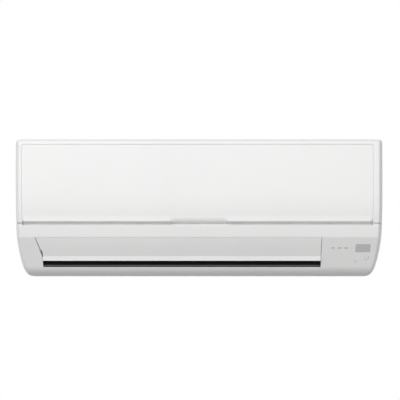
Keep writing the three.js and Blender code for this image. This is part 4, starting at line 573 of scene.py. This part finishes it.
filter_net = finish("filter_net_grey", (0.10, 0.11, 0.12), 0.6, drift=0.08, grain_mm=0.4, relief=0.2,
                    rub=(0.3, 0.3, 0.32), rub_share=0.3)
add_weave_and_painted_hole_shade(filter_net)
moulded_copy("air_filter_left", "net_left", 0, filter_net)
moulded_copy("air_filter_right", "net_right", 0, filter_net)


# ---- Control box ----
# A grey moulded box at the right end with a screwed steel lid, over the main board and the terminals.
# The board is green glass-epoxy with its relays, transformer, capacitor and sockets soldered on.
def add_tracks(material):
    tree = material.node_tree
    cells = pattern(tree, "ShaderNodeTexVoronoi", Scale=160.0)
    cells.feature = "DISTANCE_TO_EDGE"
    overlay(tree, ranged(tree, cells.outputs["Distance"], 0.03, 0.08, 0.45, 0.0), (0.12, 0.32, 0.14))


board_green = finish("green_board", (0.03, 0.14, 0.06), 0.4, drift=0.1, grain_mm=0.4, relief=0.1,
                     rub=(0.5, 0.45, 0.3), rub_share=0.2)
add_tracks(board_green)
moulded_copy("control_box", "parts_box", 0.5, grey_moulding)
moulded_copy("control_box_cover", "parts_box_lid", 0.3, zinc_steel)
moulded_copy("main_circuit_board", "main_board", 0.2, board_green)
moulded_copy("terminal_block", "terminals", 0.3, duct_plastic)


# ---- Front frame ----
# The white moulded casing: a thin shell, open at the back, with the recess for the panel, the filters'
# windows, the intake in its top and the outlet in its slanted face. One screw at the right holds it.
body_width, body_height, body_depth, wall = 770.0, 290.0, 205.0, 2.6
corner_width, corner_depth, top_corner = 13.0, 42.0, 5.0
lower_corner_height, lower_corner_width = 110.0, 23.0
outlet_trim, opening_knee = 1.6, 42.0
panel_left, panel_right, panel_gap = -368.0, 361.0, 0.35
panel_axis = (198.2, 275.2)
barrel_room, hinge_pin_hole, hinge_pin_reach = 5.4, 2.35, 3.3
recess_low, recess_top, recess_back, recess_corner = 110.9, panel_axis[1] + 4.3, 188.0, 1.5
window_low, window_top, window_corner, window_rib = 126.0, 268.0, 8.0, 12.0
intake_half, intake_back, intake_front = 338.0, 30.0, 166.0
groove_low, groove_high, groove_back, groove_cut = 113.4, 116.8, 168.0, 2.2
lens_place, lens_width, lens_tall, lens_corner = (343.0, 62.5), 30.0, 19.0, 2.0
lamp_places, lamp_height, lamp_width, lamp_tall, lamp_corner = (280.0, 294.0, 308.0), 63.0, 6.0, 3.0, 1.0
button_place, button_radius = (329.0, 34.0), 2.6
screw_place, screw_cap_radius = (352.0, 41.5), 4.2

# Turning points of the front's side view, each a distance from the wall and a height.
under_lip, strip_high, panel_low = (152.5, 12.9), (197, 109), (197.5, 117.5)
panel_middle, panel_high = (205, 195), (203.2, 275.2)


def rounded_corner(before, corner, after, reach):
    corner = Vector(corner)
    start = corner + (Vector(before) - corner).normalized() * reach
    end = corner + (Vector(after) - corner).normalized() * reach
    return swung(start, corner, end, 5)


def front_profile():
    points = swung((118, 0), (147, 3.7), lip, 14)[:-1]
    points += rounded_corner(under_lip, lip, strip_low, 1.5)
    points += rounded_corner(lip, strip_low, strip_high, 2.5)
    points += rounded_corner(strip_low, strip_high, panel_low, 2.0)
    points += curve_through(panel_low, (204.5, 148), (205, 168), panel_middle, 12)
    points += curve_through(panel_middle, (205, 230), (203.6, 255), panel_high, 12)[1:]
    points += swung(panel_high, (203.2, 288), (188.4, body_height), 14)[1:]
    return points


# The same side view drawn a wall's thickness further in.
def inset_profile(inset):
    points = front_profile()
    moved = []
    for index, point in enumerate(points):
        before = points[max(0, index - 1)]
        after = points[min(len(points) - 1, index + 1)]
        along = (after - before).normalized()
        shifted = point + Vector((-along.y, along.x)) * inset
        shifted.y = min(body_height - inset, max(inset, shifted.y))
        moved.append(shifted)
    moved[0].y = inset
    moved[-1].y = body_height - inset
    return moved


def depth_at(points, height):
    for low, high in zip(points, points[1:]):
        if low.y <= height <= high.y and high.y > low.y:
            return low.x + (high.x - low.x) * (height - low.y) / (high.y - low.y)
    return points[0].x if height < points[0].y else points[-1].x


def quarter_round(share):
    return 1 - math.sqrt(max(0.0, 1 - share * share))


def narrowing_at(height):
    drop = max(0.0, (lower_corner_height - height) / lower_corner_height)
    rise = max(0.0, (height - body_height + top_corner) / top_corner)
    return lower_corner_width * quarter_round(drop) + top_corner * quarter_round(rise)


# The heights of the form's rings: closest together where the lower and upper corners turn.
def form_heights(profile, inset):
    low, high = inset, body_height - inset
    heights = [point.y for point in profile]
    heights += [low + (lower_corner_height - low) * (1 - math.cos(step / 16 * math.pi / 2))
                for step in range(1, 16)]
    heights += [high - top_corner * (1 - math.sin(step / 6 * math.pi / 2)) for step in range(6)]
    spaced = [low]
    for height in sorted(height for height in heights if low + 0.3 < height < high - 0.3):
        if height - spaced[-1] > 0.3:
            spaced.append(height)
    return spaced + [high]


# The plan of the body, run up in rings, each set to the width and depth of its height.
def outer_form(name, inset=0.0, back=1.0):
    profile = inset_profile(inset)
    half = body_width / 2
    plan = [(-half + inset, back)]
    for side, start in ((-1, math.pi), (1, math.pi * 1.5)):
        for step in range(11):
            angle = start + step / 10 * math.pi / 2
            plan.append((side * (half - corner_width) + (corner_width - inset) * math.cos(angle),
                         body_depth - corner_depth - (corner_depth - inset) * math.sin(angle)))
    plan.append((half - inset, back))
    shape = bmesh.new()
    rings = []
    for height in form_heights(profile, inset):
        narrowing = narrowing_at(height)
        setback = body_depth - inset - depth_at(profile, height)
        ring = []
        for x, depth in plan:
            kept = depth if depth == back else depth - setback
            ring.append(shape.verts.new(at(x - math.copysign(narrowing, x), kept, height)))
        rings.append([shape.edges.new(pair) for pair in zip(ring, ring[1:] + ring[:1])])
    for lower, upper in zip(rings, rings[1:]):
        bmesh.ops.bridge_loops(shape, edges=lower + upper)
    for ring in (rings[0], rings[-1]):
        bmesh.ops.contextual_create(shape, geom=ring)
    bmesh.ops.recalc_face_normals(shape, faces=shape.faces)
    return link_mesh(name, shape)


# A squared room or cutting tool, whose corners seen from the front may be rounded.
def block(name, x0, x1, depth0, depth1, height0, height1, radius=0.0, steps=4):
    shape = bmesh.new()
    bmesh.ops.create_cube(shape, size=1.0)
    middle = at((x0 + x1) / 2, (depth0 + depth1) / 2, (height0 + height1) / 2)
    size = Vector((x1 - x0, depth1 - depth0, height1 - height0)) / 1000
    bmesh.ops.transform(
        shape, matrix=Matrix.Translation(middle) @ Matrix.Diagonal((*size, 1.0)), verts=shape.verts)
    if radius > 0:
        along = [edge for edge in shape.edges
                 if abs((edge.verts[0].co - edge.verts[1].co).normalized().y) > 0.9]
        bmesh.ops.bevel(shape, geom=along, offset=radius / 1000, offset_type="OFFSET", segments=steps,
                        profile=0.5, affect="EDGES", clamp_overlap=True, material=-1)
    return link_mesh(name, shape)


# An outline drawn on the slanted face round a place of it, and run between two distances in front of it.
def slant_prism(name, outline, x, height, inner, outer):
    depth, level = behind_slant(height, -inner)
    points = [at(x + across, depth + slant.x * up, level + slant.y * up) for across, up in outline]
    return prism(name, points, at(0, *behind_slant(height, -outer)) - at(0, depth, level))


def rounded_rectangle(width, tall, radius, steps=6):
    outline = []
    for side, end, start in ((1, 1, 0), (-1, 1, 90), (-1, -1, 180), (1, -1, 270)):
        for step in range(steps + 1):
            angle = math.radians(start + 90 * step / steps)
            outline.append((side * (width / 2 - radius) + radius * math.cos(angle),
                            end * (tall / 2 - radius) + radius * math.sin(angle)))
    return outline


# Painted shade, broken into patches, darkens the gap under the panel and the groove that carries it on.
def make_painted_seam_shade():
    group, given, result = node_group("painted_seam_shade", [("Breakup Scale", 30.0)], ["Dust"])
    place = group.nodes.new("ShaderNodeTexCoord")
    split = group.nodes.new("ShaderNodeSeparateXYZ")
    feed(group, split.inputs["Vector"], place.outputs["Object"])
    patches = pattern(group, "ShaderNodeTexNoise", Scale=given.outputs["Breakup Scale"])
    low, high, fade = at(0, 0, groove_low - 0.5).z, at(0, 0, groove_high + 0.5).z, 0.0007
    front, back = at(0, groove_back + 1.5, 0).y, at(0, groove_back, 0).y
    painted_shade = ranged(group, patches.outputs["Fac"], 0.35, 0.65, 0.75, 1.0)
    for mask in (ranged(group, split.outputs["Z"], low, low + fade, 0.0, 1.0),
                 ranged(group, split.outputs["Z"], high - fade, high, 1.0, 0.0),
                 ranged(group, split.outputs["Y"], front, back, 1.0, 0.0)):
        painted_shade = multiplied(group, painted_shade, mask)
    feed(group, result.inputs["Dust"], painted_shade)
    return group


# Lays the painted shade, a mid grey, over the casing's seam band.
def add_painted_seam_shade(material):
    tree = material.node_tree
    painted_shade = add_group(tree, make_painted_seam_shade(), Breakup_Scale=30.0)
    overlay(tree, painted_shade.outputs["Dust"], (0.50, 0.50, 0.49))


# The parting line that carries the panel's lower seam on round both shoulders.
def shoulder_groove():
    band = block("band", -tool_side, tool_side, groove_back, tool_front, groove_low, groove_high)
    return worked(band, ("DIFFERENCE", outer_form("kept", groove_cut, -10)))


# Behind the flap's leaning end the casing steps in, so that the seam shows white plastic in shade.
def outlet_rebate():
    foot = 50

    def along(*corners):
        return [(x, (height - foot) / slant.y) for x, height in corners]

    ledge = along((-329.4, 43), (-329.4, 85.6), (-345, 85.6), (-335.2, 54.8))
    web = along((-331.4, 43), (-330.2, 46), (-343.2, 86.6), (-345.6, 86.6))
    return slant_prism("ledge", ledge, 0, foot, -6.4, -4.8), slant_prism("web", web, 0, foot, -6.2, -1.4)


def front_casing():
    left, right = panel_left - panel_gap, panel_right + panel_gap
    outlet = outlet_outline("outlet", outlet_left_bottom, outlet_left_top, outlet_right - outlet_trim,
                            opening_knee)
    recess_walls = block("recess_walls", left - wall, right + wall, recess_back - wall, tool_front,
                         strip_high[1] - wall, panel_axis[1] + barrel_room + 0.4 + wall)
    cuts = [worked(outer_form("cavity", wall, -10), ("DIFFERENCE", recess_walls)),
            block("recess", left, right, recess_back, tool_front, recess_low, recess_top, recess_corner, 5),
            outlet, shoulder_groove(),
            round_bar("barrel_room", barrel_room, left, right, panel_axis, 64),
            block("intake", -intake_half, intake_half, intake_back, intake_front,
                  body_height - 2 * wall, body_height + 5)]
    window_left, window_right = left + 26, outlet_right - 12
    window_width = (window_right - window_left - window_rib) / 2
    for start in (window_left, window_right - window_width):
        cuts.append(block("window", start, start + window_width, recess_back - 8, recess_back + 4,
                          window_low, window_top, window_corner, 6))
    for start, end in ((left - hinge_pin_reach, left + 1), (right - 1, right + hinge_pin_reach)):
        cuts.append(round_bar("pin_hole", hinge_pin_hole, start, end, panel_axis, 24))
    lens_hole = rounded_rectangle(lens_width + 0.6, lens_tall + 0.6, lens_corner + 0.3)
    lamp_hole = rounded_rectangle(lamp_width + 0.6, lamp_tall + 0.6, lamp_corner + 0.2)
    cuts.append(slant_prism("lens_hole", lens_hole, *lens_place, -8, 8))
    for x in lamp_places:
        cuts.append(slant_prism("lamp_hole", lamp_hole, x, lamp_height, -8, 8))
    cuts.append(slant_prism("button_hole", disc_outline(button_radius + 0.5), *button_place, -8, 8))
    cuts.append(slant_prism("screw_hole", disc_outline(screw_cap_radius + 0.6), *screw_place, -8, 8))
    shell = worked(outer_form("front_casing"), *(("DIFFERENCE", tool) for tool in cuts),
                   *(("UNION", part) for part in outlet_rebate()))
    return ease_edges(shell, 0.25)


moulded_copy("frame_screw", "front_screw", 0.15, turned_steel)
casing_moulding = white_plastic("satin_white_casing")
# The casing gets painted shade in the seam under the panel and along the groove.
add_painted_seam_shade(casing_moulding)
place_piece(front_casing(), "front_frame", casing_moulding)
moulded_copy("intake_grille", "top_grille", 0.5, white_moulding)


# ---- Display, lamps and button ----
# A smoked window and three small lamp lenses let the display board's lights through the slanted face.
# The round button runs the unit without its remote control, and a cap hides the frame's screw.
smoked_lens = finish("smoked_lens", (0.52, 0.53, 0.54), 0.14, drift=0.03, grain_mm=0.3, relief=0.02,
                     rub=(0.5, 0.5, 0.5), rub_share=0.2, uneven=0.03, coat=0.4)
lamp_lens = finish("clear_lamp_lens", (0.56, 0.57, 0.56), 0.15, drift=0.03, grain_mm=0.3, relief=0.02,
                   rub=(0.8, 0.8, 0.8), uneven=0.03, coat=0.3)


button_flange = 4.2


def lens(name, outline, x, height, front):
    return ease_edges(slant_prism(name, outline, x, height, -wall - 1, front), 0.3)


def run_button():
    button = slant_prism("run_button", disc_outline(button_radius), *button_place, -9, 0.4)
    flange = slant_prism("flange", disc_outline(button_flange), *button_place, -4.1, -2.9)
    return ease_edges(worked(button, ("UNION", flange)), 0.25)


window_outline = rounded_rectangle(lens_width, lens_tall, lens_corner)
lamp_outline = rounded_rectangle(lamp_width, lamp_tall, lamp_corner)
place_piece(lens("display_lens", window_outline, *lens_place, -0.2), "display_window", smoked_lens)
for index, x in enumerate(lamp_places, 1):
    place_piece(lens(f"lamp_{index}", lamp_outline, x, lamp_height, 0.0), f"lamp_lens_{index}", lamp_lens)
place_piece(run_button(), "auto_button", white_moulding)
screw_cap = slant_prism("screw_cap", disc_outline(screw_cap_radius), *screw_place, -wall, -0.2)
place_piece(ease_edges(screw_cap, 0.3), "frame_screw_cap", white_moulding)
moulded_copy("display_board", "lamp_board", 0.2, board_green)


# ---- Front panel ----
# A thin bowed lid over the filters, hooked in at its top on two pins and swung up by its lower edge.
# The shallow notch in the middle of that edge is where the fingers go.
panel_edge, panel_corner, hollow_low, hollow_high = 119.4, 4.0, 126.1, 270.2
notch_half, notch_rise, scoop_half, turned_edge_start = 53.5, 6.0, 57.0, 60.0
barrel_radius, hinge_pin_radius = 5.0, 2.0

# The lid's lower edge turns upright again, which gives it a bright line on each side of the notch.
turned_edge = ((192.0, 119.6), (199.9, 119.6), (200.1, 130.0), (196.0, 130.0))

# The notch is a scoop for the fingers, rolled in under the edge.
finger_scoop = swung((199.6, 130.0), (199.2, 117.4), (189.6, 115.6), 10) + [(189.6, 130.0)]


quarter_turn = [step / 6 * math.pi / 2 for step in range(7)]


def panel_outline():
    low, raised = panel_edge, panel_edge + notch_rise
    inner, outer = notch_half - 6, notch_half + 4
    near, far = notch_half - 1, notch_half + 1
    left, right = panel_left + panel_corner, panel_right - panel_corner
    points = [(left, low), (-outer, low)]
    points += curve_through((-outer, low), (-near, low), (-far, raised), (-inner, raised), 8)[1:]
    points += curve_through((inner, raised), (far, raised), (near, low), (outer, low), 8)
    points += [(right + panel_corner * math.sin(turn), low + panel_corner * (1 - math.cos(turn)))
               for turn in quarter_turn]
    points += [(panel_right, panel_axis[1]), (panel_left, panel_axis[1])]
    points += [(left - panel_corner * math.cos(turn), low + panel_corner * (1 - math.sin(turn)))
               for turn in quarter_turn[:-1]]
    return points


def front_lid():
    back = panel_axis[0] - barrel_radius
    tray = prism("front_lid", [at(x, back, height) for x, height in panel_outline()],
                 at(0, tool_front, 0) - at(0, back, 0))
    room = block("room", panel_left + wall, panel_right - wall, back - 5, body_depth,
                 hollow_low, hollow_high)
    lid = worked(
        tray,
        ("INTERSECT", outer_form("form")),
        ("DIFFERENCE", worked(outer_form("hollow", wall), ("INTERSECT", room))),
        ("UNION", round_bar("barrel", barrel_radius, panel_left, panel_right, panel_axis, 64)),
        ("UNION", round_bar("pins", hinge_pin_radius, panel_left - 3.4, panel_right + 3.4, panel_axis, 24)),
        ("UNION", run_across("turned_edge", turned_edge, panel_left + panel_corner, -turned_edge_start)),
        ("UNION", run_across("turned_edge", turned_edge, turned_edge_start, panel_right - panel_corner)),
        ("UNION", run_across("scoop", finger_scoop, -scoop_half, scoop_half)))
    return ease_edges(lid, 0.25)


place_piece(front_lid(), "front_panel", white_moulding)


# ---- Floor and light ----
# A plain pale studio: a floor well below the unit, a broad soft lamp at the upper left, a weaker one in
# front and a faint one above. Floor and sky are white to the camera and in reflections, and light the
# underside only dimly.
def seen_directly(tree):
    path = tree.nodes.new("ShaderNodeLightPath")
    seen = path.outputs["Is Camera Ray"]
    for label in ("Is Glossy Ray", "Is Transmission Ray"):
        either = tree.nodes.new("ShaderNodeMath")
        either.operation = "MAXIMUM"
        feed(tree, either.inputs[0], seen)
        feed(tree, either.inputs[1], path.outputs[label])
        seen = either.outputs["Value"]
    return seen


def studio_floor():
    shape = bmesh.new()
    bmesh.ops.create_grid(shape, x_segments=1, y_segments=1, size=1.5)
    bmesh.ops.translate(shape, verts=shape.verts, vec=(0, 0, -0.80))
    floor = link_mesh("studio_floor", shape)
    material = bpy.data.materials.new("pale_floor")
    material.use_nodes = True
    tree = material.node_tree
    shader = tree.nodes["Principled BSDF"]
    seen = seen_directly(tree)
    feed(tree, shader.inputs["Base Color"], mixed(tree, seen, (0.25, 0.25, 0.25), (0.94, 0.94, 0.94)))
    feed(tree, shader.inputs["Emission Strength"], ranged(tree, seen, 0.0, 1.0, 0.0, 0.30))
    shader.inputs["Emission Color"].default_value = (1, 1, 1, 1)
    shader.inputs["Roughness"].default_value = 0.8
    floor.data.materials.append(material)
    return floor


def soft_lamp(name, place, size, power):
    data = bpy.data.lights.new(name, "AREA")
    data.shape = "RECTANGLE"
    data.size, data.size_y = size
    data.energy = power
    lamp = bpy.data.objects.new(name, data)
    lamp.location = place
    lamp.rotation_euler = (Vector((0, -0.1, 0)) - Vector(place)).to_track_quat("-Z", "Y").to_euler()
    bpy.context.scene.collection.objects.link(lamp)


studio_floor()
soft_lamp("key_lamp", (-2.3, -2.9, 1.9), (2.0, 2.0), 66)
soft_lamp("front_lamp", (0.4, -3.4, -0.1), (3.8, 2.6), 50)
soft_lamp("top_lamp", (0.0, -0.7, 2.1), (1.8, 1.2), 7)

world = bpy.data.worlds.new("studio_world")
bpy.context.scene.world = world
world.use_nodes = True
sky = world.node_tree
background = sky.nodes["Background"]
background.inputs["Color"].default_value = (1, 1, 1, 1)
feed(sky, background.inputs["Strength"], ranged(sky, seen_directly(sky), 0.0, 1.0, 0.34, 1.0))
